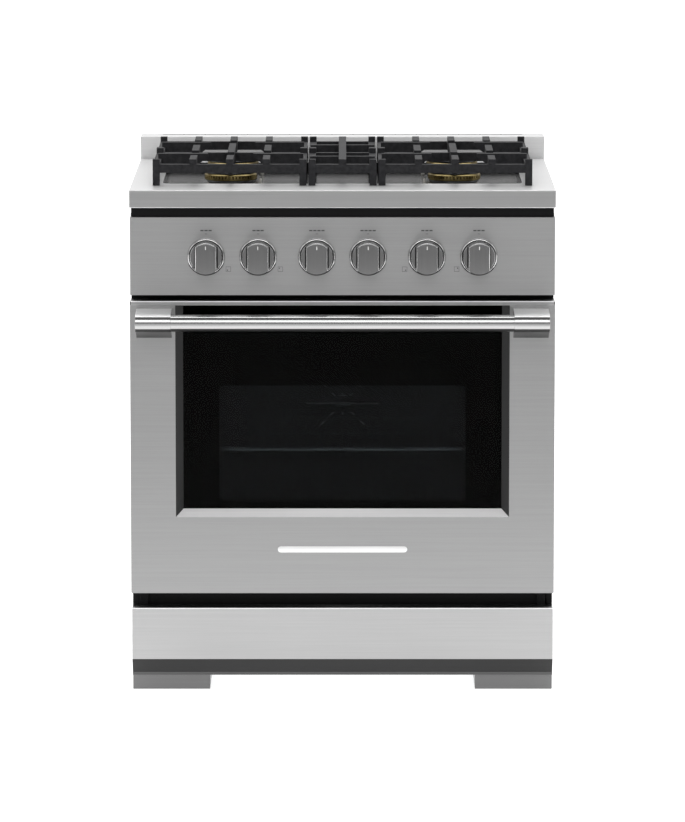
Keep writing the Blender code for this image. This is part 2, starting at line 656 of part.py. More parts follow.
def make_manifold(finish):
    """Gas rail behind the panel, with a valve or switch body for each knob and a bore for its stem."""
    pipe_end = max(KNOB_X.values()) + VALVE_WIDTH
    y = back(MANIFOLD_DEPTH)
    rail = add_rod("gas_manifold", MANIFOLD_RADIUS, (-pipe_end, y, KNOB_Z), (pipe_end, y, KNOB_Z), finish)
    half = VALVE_WIDTH / 2
    for name, x in KNOB_X.items():
        body = add_box(f"valve_{name}", (x - half, x + half), (back(VALVE_FRONT), y),
                       (KNOB_Z - half, KNOB_Z + half))
        bore = add_rod(f"valve_bore_{name}", STEM_RADIUS + GAP, (x, back(VALVE_FRONT - 0.01), KNOB_Z),
                       (x, y - MANIFOLD_RADIUS, KNOB_Z))
        join(rail, body)
        cut(rail, bore)


def make_bezels(finish):
    """Turned rings on the panel, each with a recess for its knob."""
    face = back(PANEL_SETBACK) - GAP
    for name, x in KNOB_X.items():
        ring = [(0, 0), (BEZEL_RADIUS, 0), (BEZEL_RADIUS, BEZEL_HEIGHT - 0.003),
                (BEZEL_RADIUS - 0.0025, BEZEL_HEIGHT), (DIAL_RADIUS + 0.001, BEZEL_HEIGHT),
                (DIAL_RADIUS + 0.001, BEZEL_HEIGHT - BEZEL_RECESS), (0, BEZEL_HEIGHT - BEZEL_RECESS)]
        bezel = add_turned(f"bezel_{name}", ring, (x, face, KNOB_Z), (0, -1, 0), finish)
        hole = add_rod(f"bezel_hole_{name}", STEM_RADIUS + GAP, (x, face - 0.02, KNOB_Z),
                       (x, face + 0.01, KNOB_Z))
        cut(bezel, hole)


def make_knobs(finish, steel):
    """Dials with a grip bar; a burner knob sits on its valve stem, an oven knob has its own shaft."""
    seat = back(PANEL_SETBACK) - GAP - (BEZEL_HEIGHT - BEZEL_RECESS) - STEM_TRAVEL - 2 * GAP
    tip = back(MANIFOLD_DEPTH - MANIFOLD_RADIUS) - STEM_TRAVEL - 2 * GAP
    stem_end = seat - STEM_INTO_KNOB
    for name, x in KNOB_X.items():
        dial = [(0, 0), (GRIP_RADIUS, 0), (GRIP_RADIUS, KNOB_HEIGHT - 0.003),
                (GRIP_RADIUS - 0.003, KNOB_HEIGHT), (0, KNOB_HEIGHT)]
        knob = add_turned(f"knob_{name}", dial, (x, seat, KNOB_Z), (0, -1, 0), finish)
        for side, sign in SIDES.items():
            flank = add_box(f"knob_{name}_{side}_flank",
                            (x + sign * GRIP_WIDTH / 2, x + sign * (DIAL_RADIUS + 0.01)),
                            (seat - DIAL_PLATE - 0.0015, seat - KNOB_HEIGHT - 0.01),
                            (KNOB_Z - DIAL_RADIUS - 0.01, KNOB_Z + DIAL_RADIUS + 0.01))
            cut(knob, flank)
        axis = add_pivot(f"knob_axis_{name}", (x, seat, KNOB_Z))
        if name in OVEN_KNOBS:
            join(knob, add_rod(f"shaft_{name}", STEM_RADIUS, (x, seat - 0.002, KNOB_Z), (x, tip, KNOB_Z)))
        else:
            bore = add_rod(f"knob_bore_{name}", STEM_RADIUS + GAP, (x, seat + 0.01, KNOB_Z),
                           (x, stem_end - GAP, KNOB_Z))
            cut(knob, bore)
            stem = add_rod(f"valve_stem_{name}", STEM_RADIUS, (x, stem_end, KNOB_Z), (x, tip, KNOB_Z), steel)
            push = add_pivot(f"push_axis_{name}", (x, tip, KNOB_Z))
            hang(push, stem)
        hang(axis, knob)


# ---------------------------------------------------------------- oven door

def make_door():
    face = back(DOOR_SETBACK)
    rear = face + DOOR_THICKNESS
    pivot = add_pivot("door_hinge_axis", (0, face + HINGE_DEPTH, HINGE_Z))
    skin = make_door_skin(face, MATERIALS["brushed_steel"])
    liner = make_door_liner(face, rear, MATERIALS["enamel"])
    outer = make_outer_glass(face, MATERIALS["black_glass"])
    inner = make_inner_glass(rear, MATERIALS["clear_glass"])
    hang(pivot, skin, liner, outer, inner, *make_handle(face, MATERIALS["bright_steel"]))


def hinge_notches(tag, y_span):
    """Space for the hinge arm from the axis out through the door's bottom and rear."""
    for side, sign in SIDES.items():
        half = HINGE_ARM / 2 + HINGE_CLEAR
        yield add_box(f"{tag}_notch_{side}", mirrored(sign, HINGE_X - half, HINGE_X + half), y_span,
                      (DOOR_BOTTOM - 0.01, HINGE_Z + HINGE_RISE + HINGE_CLEAR))


def make_door_skin(face, finish):
    """Folded steel outer skin with the bevelled window recess and the cap along its top."""
    under_cap = DOOR_TOP - DOOR_CAP
    rear = face + DOOR_THICKNESS - 0.004
    skin = add_box("door_skin", (-DOOR, DOOR), (face, rear), (DOOR_BOTTOM, under_cap + SHEET), finish)
    hollow = add_box("skin_hollow", (DOOR_SHEET - DOOR, DOOR - DOOR_SHEET), (face + DOOR_SHEET, rear + 0.01),
                     (DOOR_BOTTOM + DOOR_SHEET, under_cap))
    recess = DOOR - STILE
    glass = recess - RECESS_BEVEL
    low = DOOR_BOTTOM + RECESS_RISE
    ledge = RECESS_LEDGE / 2
    surround = add_box("recess_surround", (-recess - ledge, recess + ledge),
                       (face + DOOR_SHEET / 2, face + RECESS_BEVEL), (low - ledge, under_cap + SHEET / 2))
    cut(skin, hollow)
    join(skin, surround)
    cap = add_box("door_cap", (-DOOR, DOOR), (face - DOOR_CAP_PROUD, face + DOOR_THICKNESS),
                  (under_cap, DOOR_TOP))
    rounding = cap.modifiers.new("rounded_edges", "BEVEL")
    rounding.width = 0.0018
    rounding.segments = 2
    opening = add_frustum("recess_opening", face, recess, glass, low, under_cap)
    shaft = add_box("recess_shaft", (-glass, glass), (face + RECESS_BEVEL / 2, face + RECESS_BEVEL + 0.003),
                    (low + RECESS_BEVEL, under_cap))
    cut(skin, opening, shaft)
    join(skin, cap)
    notches = hinge_notches("skin", (face + HINGE_DEPTH - 0.010, rear + 0.01))
    return cut(skin, *notches)


def add_frustum(name, face, wide, narrow, low, top):
    """Cutter for the bevelled recess: wide at the door's face, narrow at the glass, straight at its top."""
    slope = wide - narrow
    outlines = [(face - 0.001, wide + 0.001, low - 0.001), (face + slope, narrow, low + slope)]
    shape = bmesh.new()
    loops = []
    for y, half, bottom in outlines:
        corners = [(-half, bottom), (half, bottom), (half, top), (-half, top)]
        loops.append([shape.verts.new((x, y, z)) for x, z in corners])
    near, far = loops
    shape.faces.new(near)
    shape.faces.new(far)
    for step in range(4):
        after = (step + 1) % 4
        shape.faces.new([near[step], near[after], far[after], far[step]])
    return add_object(name, shape)


def make_door_liner(face, rear, finish):
    """Enamelled inner pan, open to the front, with the see-through hole and cheeks for the hinge pins."""
    half = DOOR - DOOR_SHEET - GAP
    front = face + RECESS_BEVEL + GLASS + 3 * GAP
    bottom, top = DOOR_BOTTOM + DOOR_SHEET + GAP, DOOR_TOP - DOOR_CAP - GAP
    liner = add_box("door_liner", (-half, half), (front, rear), (bottom, top), finish)
    hollow = add_box("liner_hollow", (SHEET - half, half - SHEET), (front - 0.01, rear - SHEET),
                     (bottom + SHEET, top - SHEET))
    pane = DOOR - PANE_SIDE
    hole = add_box("pane_hole", (-pane, pane), (rear - 0.01, rear + 0.01),
                   (DOOR_BOTTOM + PANE_RISE, PANE_TOP))
    cut(liner, hollow, hole)
    axis_y = face + HINGE_DEPTH
    for side, sign in SIDES.items():
        cheek = add_box(f"hinge_cheek_{side}", mirrored(sign, HINGE_X - PIN_LENGTH / 2 - 0.003, half - SHEET / 2),
                        (front + 0.0005, rear - SHEET / 2), (bottom + SHEET / 2, HINGE_Z + 0.018))
        join(liner, cheek)
    cut(liner, *hinge_notches("liner", (axis_y - 0.010, rear + 0.01)))
    for side, sign in SIDES.items():
        reach = PIN_LENGTH / 2 + GAP
        pin_hole = add_rod(f"pin_hole_{side}", PIN_RADIUS + GAP, (sign * (HINGE_X - reach), axis_y, HINGE_Z),
                           (sign * (HINGE_X + reach), axis_y, HINGE_Z))
        cut(liner, pin_hole)
    return liner


def make_outer_glass(face, finish):
    half = DOOR - STILE + RECESS_LEDGE / 2
    low = DOOR_BOTTOM + RECESS_RISE - RECESS_LEDGE / 2
    front = face + RECESS_BEVEL + GAP
    return add_box("door_outer_glass", (-half, half), (front, front + GLASS),
                   (low, DOOR_TOP - DOOR_CAP - GAP), finish)


def make_inner_glass(rear, finish):
    half = DOOR - PANE_SIDE + RECESS_LEDGE
    low = DOOR_BOTTOM + PANE_RISE - RECESS_LEDGE
    glass_rear = rear - SHEET - GAP
    return add_box("door_inner_glass", (-half, half), (glass_rear - GLASS, glass_rear),
                   (low, PANE_TOP + RECESS_LEDGE), finish)


def make_handle(face, finish):
    """Tubular bar between two cast brackets with a round sleeve at their tips."""
    y, z = face - HANDLE_REACH, DOOR_TOP - HANDLE_DROP
    end = DOOR - BRACKET_END
    bar_end = end - BRACKET_WALL
    bar = add_rod("handle_bar", HANDLE_RADIUS, (-bar_end, y, z), (bar_end, y, z), finish, 32)
    root = face - GAP
    neck = y + SLEEVE_RADIUS * 0.4
    outline = [(root, z + BRACKET_UP), (root, z - BRACKET_DOWN), (root - 0.012, z - BRACKET_DOWN + 0.003),
               (neck, z - SLEEVE_RADIUS * 0.85), (neck, z + SLEEVE_RADIUS * 0.85),
               (root - 0.012, z + BRACKET_UP)]
    pieces = [bar]
    for side, sign in SIDES.items():
        span = mirrored(sign, end - BRACKET_LENGTH, end)
        bracket = add_prism(f"handle_bracket_{side}", outline, "X", span, finish)
        sleeve = add_rod(f"sleeve_{side}", SLEEVE_RADIUS, (span[0], y, z), (span[1], y, z), steps=32)
        bore = add_rod(f"sleeve_bore_{side}", HANDLE_RADIUS + GAP, (span[0] - sign * 0.01, y, z),
                       (sign * (bar_end + GAP), y, z), steps=32)
        join(bracket, sleeve)
        pieces.append(cut(bracket, bore))
    return pieces


def make_hinges(finish):
    """Arms through the face frame that carry the door on a cross pin."""
    axis_y = back(DOOR_SETBACK + HINGE_DEPTH)
    plate = back(FRAME_BACK) + GAP
    for side, sign in SIDES.items():
        arm = add_box(f"hinge_{side}", mirrored(sign, HINGE_X - HINGE_ARM / 2, HINGE_X + HINGE_ARM / 2),
                      (axis_y - 0.006, plate + SHEET), (HINGE_Z - 0.006, HINGE_Z + 0.006), finish)
        pin = add_rod(f"hinge_pin_{side}", PIN_RADIUS, (sign * (HINGE_X - PIN_LENGTH / 2), axis_y, HINGE_Z),
                      (sign * (HINGE_X + PIN_LENGTH / 2), axis_y, HINGE_Z))
        flange = add_box(f"hinge_flange_{side}",
                         mirrored(sign, HINGE_X - POST_WIDTH / 2 - 0.002, HINGE_X + POST_WIDTH / 2 + 0.002),
                         (plate, plate + 0.002), (HINGE_Z - HINGE_FLANGE / 2, HINGE_Z + HINGE_FLANGE / 2))
        join(arm, pin, flange)


# ---------------------------------------------------------------- oven

def make_cavity(finish):
    """Oven box, open to the front, with pressed ledges for the rack and a hole for the fan shaft."""
    y = (back(CAVITY_FRONT), back(CAVITY_REAR))
    wall = CAVITY_WALL
    cavity = add_box("oven_cavity", (-CAVITY_HALF - wall, CAVITY_HALF + wall), (y[0], y[1] + wall),
                     (CAVITY_FLOOR - wall, CAVITY_CEILING + wall), finish)
    inside = add_box("cavity_hollow", (-CAVITY_HALF, CAVITY_HALF), (y[0] - 0.01, y[1]),
                     (CAVITY_FLOOR, CAVITY_CEILING))
    cut(cavity, inside)
    for level in range(LEDGE_COUNT):
        z = CAVITY_FLOOR + (level + 1) * LEDGE_STEP
        for side, sign in SIDES.items():
            ledge = add_box(f"ledge_{side}_{level}", mirrored(sign, CAVITY_HALF - LEDGE, CAVITY_HALF + wall / 2),
                            (y[0] + 0.020, y[1] - 0.030), (z, z + LEDGE_THICKNESS))
            join(cavity, ledge)
    cut(cavity, add_rod("shaft_hole", SHAFT_HOLE, (0, y[1] - 0.01, FAN_Z), (0, y[1] + 0.02, FAN_Z)))


def make_oven_fittings(enamel, steel):
    make_oven_floor(enamel)
    make_broil_burner(steel)
    make_fan_cover(enamel)
    make_rack(steel)
    make_fan(steel)


def make_oven_floor(finish):
    """Loose plate over the bake burner, slotted along both sides."""
    half = CAVITY_HALF - LEDGE / 2
    y = (back(CAVITY_FRONT) + 0.006, back(CAVITY_REAR - FAN_COVER_DEPTH) - 0.002)
    floor = add_box("oven_floor", (-half, half), y, (CAVITY_FLOOR + GAP, CAVITY_FLOOR + GAP + SHEET), finish)
    pitch = (y[1] - y[0]) / 5
    for side, sign in SIDES.items():
        for step in range(4):
            centre = y[0] + (step + 1) * pitch
            slot = add_box(f"floor_slot_{side}_{step}", mirrored(sign, half - 0.050, half - 0.040),
                           (centre - pitch / 4, centre + pitch / 4), (CAVITY_FLOOR - 0.01, CAVITY_FLOOR + 0.01))
            cut(floor, slot)


def make_broil_burner(finish):
    """Radiant burner under the ceiling, with its emitter face recessed in the frame."""
    y = (back(CAVITY_FRONT) + BROIL_FRONT, back(CAVITY_REAR) - BROIL_BACK)
    top, inner = CAVITY_CEILING - GAP, BROIL_HALF - BROIL_RIM
    bottom = top - BROIL_HEIGHT
    body = add_box("broil_burner", (-BROIL_HALF, BROIL_HALF), y, (bottom, top), finish)
    recess = add_box("emitter_recess", (-inner, inner), (y[0] + BROIL_RIM, y[1] - BROIL_RIM),
                     (bottom - 0.004, bottom + BROIL_RECESS))
    cut(body, recess)


def make_fan_cover(finish):
    """Baffle pan in front of the fan, with slots for the air."""
    rear = back(CAVITY_REAR) - GAP
    front = rear - FAN_COVER_DEPTH
    z = (FAN_Z - FAN_COVER_HEIGHT / 2, FAN_Z + FAN_COVER_HEIGHT / 2)
    cover = add_box("fan_cover", (-FAN_COVER_HALF, FAN_COVER_HALF), (front, rear), z, finish)
    hollow = add_box("cover_hollow", (SHEET - FAN_COVER_HALF, FAN_COVER_HALF - SHEET),
                     (front + SHEET, rear + 0.01),
                     (z[0] + SHEET, z[1] - SHEET))
    cut(cover, hollow)
    for step in range(AIR_SLOTS):
        rise = (step - (AIR_SLOTS - 1) / 2) * AIR_SLOT_PITCH
        half = math.sqrt(FAN_RADIUS ** 2 - rise ** 2)
        slot = add_box(f"air_slot_{step}", (-half, half), (front - 0.01, front + 0.005),
                       (FAN_Z + rise - AIR_SLOT_HEIGHT / 2, FAN_Z + rise + AIR_SLOT_HEIGHT / 2))
        cut(cover, slot)


def make_fan(finish):
    """Convection impeller on its motor shaft."""
    rear = back(CAVITY_REAR)
    y = rear - 0.005
    hub = add_rod("convection_fan", FAN_HUB, (0, y - FAN_THICKNESS, FAN_Z), (0, y, FAN_Z), finish)
    join(hub, add_rod("fan_shaft", FAN_SHAFT, (0, y - 0.002, FAN_Z), (0, rear + 0.030, FAN_Z)))
    for blade in range(FAN_BLADES):
        vane = add_box(f"fan_blade_{blade}", (FAN_HUB * 0.6, FAN_RADIUS),
                       (-FAN_THICKNESS * 0.9, -FAN_THICKNESS * 0.1), (-0.0012, 0.0012))
        vane.location = (0, y, FAN_Z)
        vane.rotation_euler = (0, 2 * math.pi * blade / FAN_BLADES, 0)
        join(hub, vane)
    hang(add_pivot("fan_axis", (0, y, FAN_Z)), hub)


def make_rack(finish):
    """Wire rack as a slotted plate: a frame with wires from front to back and one cross wire."""
    half = CAVITY_HALF - 0.002
    y = (back(CAVITY_FRONT + RACK_FRONT), back(CAVITY_REAR - FAN_COVER_DEPTH) - RACK_BACK + 0.010)
    rack = add_box("oven_rack", (-half, half), y, (RACK_Z, RACK_Z + RACK_THICKNESS), finish)
    edge = LEDGE + 0.004
    pitch = 2 * (half - edge) / RACK_WIRES
    middle = (y[0] + y[1]) / 2
    for step in range(RACK_WIRES):
        left = edge - half + step * pitch + RACK_WIRE / 2
        for row, (near, far) in enumerate(((y[0] + RACK_WIRE, middle - 0.003), (middle + 0.003, y[1] - RACK_WIRE))):
            gap = add_box(f"rack_gap_{step}_{row}", (left, left + pitch - RACK_WIRE), (near, far),
                          (RACK_Z - 0.01, RACK_Z + 0.01))
            cut(rack, gap)
    hang(add_pivot("rack_axis", (0, y[0], RACK_Z)), rack)


# ---------------------------------------------------------------- the range

clear_scene()
MATERIALS = {
    "brushed_steel": material("brushed_steel", (0.55, 0.55, 0.55), 0.32, 1.0),
    "bright_steel": material("bright_steel", (0.68, 0.68, 0.67), 0.22, 1.0),
    "knob_steel": material("knob_steel", (0.40, 0.40, 0.40), 0.35, 1.0),
    "dark_steel": material("dark_steel", (0.05, 0.05, 0.05), 0.50, 0.6),
    "galvanised": material("galvanised", (0.50, 0.51, 0.52), 0.45, 1.0),
    "cast_iron": material("cast_iron", (0.025, 0.025, 0.027), 0.55, 0.0),
    "enamel": material("enamel", (0.030, 0.030, 0.035), 0.30, 0.0),
    "brass": material("brass", (0.60, 0.48, 0.22), 0.35, 1.0),
    "black_glass": material("black_glass", (0.006, 0.006, 0.007), 0.05, 0.0),
    "clear_glass": material("clear_glass", (0.50, 0.55, 0.55), 0.05, 0.0),
    "plastic": material("plastic", (0.03, 0.03, 0.03), 0.60, 0.0),
}
make_base(MATERIALS["galvanised"])
make_legs(MATERIALS["galvanised"])
make_sides(MATERIALS["brushed_steel"])
make_back(MATERIALS["galvanised"])
make_front_frame(MATERIALS["dark_steel"])
make_kick_panel(MATERIALS["brushed_steel"])
make_skirts(MATERIALS["brushed_steel"])
make_connections(MATERIALS["brass"], MATERIALS["plastic"])
make_cooktop(MATERIALS["brushed_steel"])
make_back_trim(MATERIALS["brushed_steel"])
make_burners(MATERIALS["brass"], MATERIALS["enamel"])
for side_name, side_sign in SIDES.items():
    make_side_grate(side_name, side_sign, MATERIALS["cast_iron"])
make_center_grate(MATERIALS["cast_iron"])
make_control_panel(MATERIALS["brushed_steel"])
make_manifold(MATERIALS["galvanised"])
make_bezels(MATERIALS["bright_steel"])
make_knobs(MATERIALS["knob_steel"], MATERIALS["galvanised"])
make_door()
make_hinges(MATERIALS["galvanised"])
make_cavity(MATERIALS["enamel"])
make_oven_fittings(MATERIALS["enamel"], MATERIALS["bright_steel"])
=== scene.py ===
"""Looks of the freestanding gas range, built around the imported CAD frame.

Metres, +Z up, the front faces -Y.  Every place comes from the frame's nodes.
"""
import json
import math

import bmesh
import bpy
from mathutils import Matrix, Vector


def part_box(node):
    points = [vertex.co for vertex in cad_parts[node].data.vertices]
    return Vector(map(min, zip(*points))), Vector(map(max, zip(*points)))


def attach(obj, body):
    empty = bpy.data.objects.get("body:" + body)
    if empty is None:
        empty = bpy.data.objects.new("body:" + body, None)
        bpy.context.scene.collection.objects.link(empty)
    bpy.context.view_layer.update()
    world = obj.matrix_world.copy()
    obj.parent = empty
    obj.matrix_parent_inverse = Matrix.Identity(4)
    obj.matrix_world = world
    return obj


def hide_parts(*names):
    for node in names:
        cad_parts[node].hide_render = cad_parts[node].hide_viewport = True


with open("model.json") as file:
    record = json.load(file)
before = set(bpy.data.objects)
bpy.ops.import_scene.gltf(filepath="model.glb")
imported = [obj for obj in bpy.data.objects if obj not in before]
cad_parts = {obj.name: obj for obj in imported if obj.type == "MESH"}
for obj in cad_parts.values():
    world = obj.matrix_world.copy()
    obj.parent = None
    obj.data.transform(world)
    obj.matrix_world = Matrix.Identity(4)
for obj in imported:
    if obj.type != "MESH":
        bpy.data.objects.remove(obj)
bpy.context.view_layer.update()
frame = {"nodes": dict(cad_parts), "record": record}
NODES = frame["nodes"]
NODE_BODY = {node: body for body, nodes in frame["record"]["behaviour"]["bodies"].items() for node in nodes}
HOB_LOW, HOB_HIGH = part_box("cooktop")
KNOB_NAMES = sorted(name[len("knob_"):] for name in NODES if name.startswith("knob_"))
BURNER_NAMES = sorted(name[len("burner_cap_"):] for name in NODES if name.startswith("burner_cap_"))
SIDES = {"left": -1, "right": 1}
UP, TO_FRONT, TO_BACK = (0, 0, 1), (0, -1, 0), (0, 1, 0)


# ------------------------ camera, floor and light

CAMERA_DISTANCE = 9.9                    # in front of the hob's front face
CAMERA_HEIGHT = 1.893
CAMERA_AIM_HEIGHT = 0.5125
CAMERA_LENS = 245.4
FLOOR_HALF = 60.0
FLOOR_NEAR, FLOOR_FAR = 0.80, 0.0        # the floor's own glow in and out of the pool of light
POOL_START, POOL_END = 1.1, 1.6          # distances in front of the hob where the pool fades
WORLD_STRENGTH = 4.0
FRONT_SKY = [(0.0, 0.04), (0.12, 0.08), (0.35, 0.20), (0.58, 0.19), (0.68, 0.04)]
BACK_SKY = [(0.0, 0.28), (0.25, 0.28), (0.55, 0.26), (0.80, 0.40), (0.97, 0.85)]
SKY_TURN = (-0.02, 0.14)                 # where the cook's side of the sky goes over into the far side
SOFTBOX_PLACE, SOFTBOX_AIM = (0.0, -3.4, 3.0), (0.0, 0.0, 0.7)
SOFTBOX_SIZE, SOFTBOX_WATTS = (3.4, 1.6), 36.0


def aim_object(name, data, place, aim):
    """A camera or lamp that looks from a place at a point."""
    made = bpy.data.objects.new(name, data)
    made.location = place
    made.rotation_euler = (Vector(aim) - Vector(place)).to_track_quat("-Z", "Y").to_euler()
    bpy.context.scene.collection.objects.link(made)
    return made


def make_camera():
    data = bpy.data.cameras.new("camera")
    data.lens = CAMERA_LENS
    data.clip_end = 500.0
    place = (0.0, HOB_LOW.y - CAMERA_DISTANCE, CAMERA_HEIGHT)
    bpy.context.scene.camera = aim_object("camera", data, place, (0.0, HOB_LOW.y, CAMERA_AIM_HEIGHT))


def make_floor():
    """Pale floor with a painted pool of light: it glows by emission under the range, and the glow fades out in
    front of it.
    """
    shape = bmesh.new()
    corners = [(-1, -1), (1, -1), (1, 1), (-1, 1)]
    shape.faces.new([shape.verts.new((x * FLOOR_HALF, y * FLOOR_HALF, 0.0)) for x, y in corners])
    floor = object_from("floor", shape)
    finish = Finish("pale_floor", (0.80, 0.80, 0.80), 0.9)
    depth = finish.add("SeparateXYZ", {"Vector": finish.place()}).outputs["Y"]
    pool = finish.mapped(depth, FLOOR_FAR, FLOOR_NEAR, HOB_LOW.y - POOL_END, HOB_LOW.y - POOL_START)
    finish.shade({"Specular IOR Level": 0.1, "Emission Color": (1.0, 1.0, 1.0, 1.0), "Emission Strength": pool})
    floor.data.materials.append(finish.material)


def make_world():
    """Plain studio, graded from horizon to zenith: dim on the cook's side, pale behind the range."""
    world = bpy.data.worlds.new("studio")
    bpy.context.scene.world = world
    world.use_nodes = True
    tree = Tree(world.node_tree)
    tree.nodes.clear()
    direction = tree.add("SeparateXYZ", {"Vector": tree.place("Generated")}).outputs
    front = tree.ramp(direction["Z"], *FRONT_SKY)
    back = tree.ramp(direction["Z"], *BACK_SKY)
    turn = tree.mapped(direction["Y"], 0.0, 1.0, *SKY_TURN)
    sky = tree.mix(turn, front, back, "RGBA")
    background = tree.add("Background", {"Color": sky, "Strength": WORLD_STRENGTH})
    tree.add("OutputWorld", {"Surface": background.outputs[0]})


def make_stage():
    make_camera()
    make_floor()
    make_world()
    softbox = bpy.data.lights.new("front_softbox", "AREA")
    softbox.shape = "RECTANGLE"
    softbox.size, softbox.size_y = SOFTBOX_SIZE
    softbox.energy = SOFTBOX_WATTS
    aim_object("front_softbox", softbox, SOFTBOX_PLACE, SOFTBOX_AIM)
    bpy.context.scene.view_settings.view_transform = "Standard"


# ------------------------ node trees

class Tree:
    """A node tree in the making."""

    def __init__(self, tree):
        self.nodes, self.links = tree.nodes, tree.links

    def feed(self, node, inputs):
        """Set each named input to a value, or link it where the value is another node's output."""
        for name, value in inputs.items():
            if isinstance(value, bpy.types.NodeSocket):
                self.links.new(value, node.inputs[name])
            else:
                node.inputs[name].default_value = value

    def add(self, kind, inputs):
        node = self.nodes.new(f"ShaderNode{kind}")
        self.feed(node, inputs)
        return node

    def place(self, source="Object"):
        return self.add("TexCoord", {}).outputs[source]

    def noise(self, scale, detail):
        """Noise sampled in metres, at one scale or at its own scale along each axis."""
        scales = (scale,) * 3 if isinstance(scale, float) else scale
        stretch = self.add("Mapping", {"Vector": self.place(), "Scale": scales})
        inputs = {"Vector": stretch.outputs["Vector"], "Scale": 1.0, "Detail": detail, "Roughness": 0.6}
        return self.add("TexNoise", inputs).outputs["Fac"]

    def cells(self, scale):
        return self.add("TexVoronoi", {"Vector": self.place(), "Scale": scale}).outputs

    def mapped(self, value, low, high, start=0.0, end=1.0):
        """A value between start and end moved between low and high."""
        inputs = {"Value": value, "From Min": start, "From Max": end, "To Min": low, "To Max": high}
        return self.add("MapRange", inputs).outputs["Result"]

    def mix(self, factor, first, second, kind="FLOAT"):
        node = self.add("Mix", {})
        node.data_type = kind
        self.feed(node, {"Factor": factor, "A": first, "B": second})
        return node.outputs["Result"]

    def ramp(self, value, *stops):
        """A colour ramp from (position, grey or colour) stops."""
        node = self.add("ValToRGB", {"Fac": value})
        elements = node.color_ramp.elements
        while len(elements) < len(stops):
            elements.new(0.5)
        for element, (position, colour) in zip(elements, stops):
            element.position = position
            element.color = (*((colour,) * 3 if isinstance(colour, float) else colour), 1.0)
        return node.outputs["Color"]


class Finish(Tree):
    """A material in the making, round its one shader."""

    def __init__(self, name, colour, roughness, metallic=0.0):
        self.material = MATERIALS[name] = bpy.data.materials.new(name)
        self.material.use_nodes = True
        super().__init__(self.material.node_tree)
        self.shader = self.nodes["Principled BSDF"]
        self.shade({"Base Color": (*colour, 1.0), "Roughness": roughness, "Metallic": metallic})

    def shade(self, inputs):
        self.feed(self.shader, inputs)

    def colour(self, value, *stops):
        self.shade({"Base Color": self.ramp(value, *stops)})

    def roughness(self, value, low, high):
        self.shade({"Roughness": self.mapped(value, low, high)})

    def bump(self, height, distance, strength=1.0, under=None):
        inputs = {"Height": height, "Distance": distance, "Strength": strength}
        if under:
            inputs["Normal"] = under
        normal = self.add("Bump", inputs).outputs["Normal"]
        self.shade({"Normal": normal})
        return normal


# ------------------------ materials

MATERIALS = {}
GRAIN_ALONG = {"X": (7.0, 1400.0, 1400.0), "Y": (1400.0, 7.0, 1400.0), "Z": (1400.0, 1400.0, 7.0)}
STREAK_ALONG = {"X": (2.2, 260.0, 260.0), "Y": (260.0, 2.2, 260.0), "Z": (260.0, 260.0, 2.2)}


def brushed_steel(name, colour, roughness=0.30, along="X", metallic=1.0, anisotropy=0.6):
    """Stainless steel with a fine straight grain, broader streaks and faint cloudiness."""
    finish = Finish(name, (colour,) * 3, roughness, metallic)
    grain = finish.noise(GRAIN_ALONG[along], 2.0)
    streak = finish.noise(STREAK_ALONG[along], 3.0)
    cloud = finish.noise((3.0, 3.0, 5.0), 2.0)
    lines = finish.mix(0.45, grain, streak)
    finish.colour(lines, (0.30, (colour * 0.93, colour * 0.93, colour * 0.935)), (0.70, colour * 1.05))
    finish.roughness(finish.mix(0.5, lines, cloud), roughness - 0.08, roughness + 0.10)
    finish.shade({"Anisotropic": anisotropy, "Anisotropic Rotation": 0.25})
    finish.bump(lines, 0.00003)


def polished_steel(name, colour, roughness=0.16, along="X"):
    """Finer, brighter steel with hairline polishing marks."""
    finish = Finish(name, (colour,) * 3, roughness, 1.0)
    grain = finish.noise(GRAIN_ALONG[along], 2.0)
    finish.colour(grain, (0.3, colour * 0.92), (0.7, colour * 1.05))
    finish.roughness(grain, roughness - 0.04, roughness + 0.06)
    finish.bump(grain, 0.000015)


def cast_iron(name):
    """Sand-cast iron under matt black enamel: grain, soft lumps and rubbed high spots."""
    finish = Finish(name, (0.03, 0.03, 0.032), 0.5)
    grain = finish.noise(900.0, 4.0)
    lumps = finish.noise(120.0, 3.0)
    finish.colour(lumps, (0.3, (0.016, 0.016, 0.018)), (0.75, (0.036, 0.036, 0.039)))
    finish.roughness(grain, 0.50, 0.74)
    finish.shade({"Specular IOR Level": 0.2})
    finish.bump(grain, 0.00012, 0.9, under=finish.bump(lumps, 0.0004, 0.6))


def oven_enamel(name, base=0.018, roughness=0.22):
    """Vitreous enamel with pale specks and a slight orange peel."""
    finish = Finish(name, (base,) * 3, roughness)
    stops = [(0.0, (0.20, 0.21, 0.24)), (0.13, (0.16, 0.17, 0.20)), (0.19, (base, base, base * 1.25))]
    finish.colour(finish.cells(330.0)["Distance"], *stops)
    peel = finish.noise(160.0, 2.0)
    finish.roughness(peel, roughness - 0.06, roughness + 0.08)
    finish.shade({"Coat Weight": 0.4, "Coat Roughness": 0.08})
    finish.bump(peel, 0.0003, 0.5)


def cast_metal(name, dark, light, roughness):
    """Machined or cast metal with light tarnish."""
    finish = Finish(name, light, roughness, 1.0)
    finish.colour(finish.noise(60.0, 5.0), (0.35, dark), (0.68, light))
    grain = finish.noise(700.0, 3.0)
    finish.roughness(grain, roughness - 0.08, roughness + 0.12)
    finish.bump(grain, 0.00008, 0.6)


def galvanised(name):
    """Zinc-coated sheet with its crystal spangle."""
    finish = Finish(name, (0.5, 0.51, 0.52), 0.4, 1.0)
    finish.colour(finish.cells(110.0)["Color"], (0.1, (0.46, 0.47, 0.48)), (0.9, (0.57, 0.58, 0.59)))
    grain = finish.noise(240.0, 4.0)
    finish.roughness(grain, 0.34, 0.56)
    finish.bump(grain, 0.00008, 0.5)


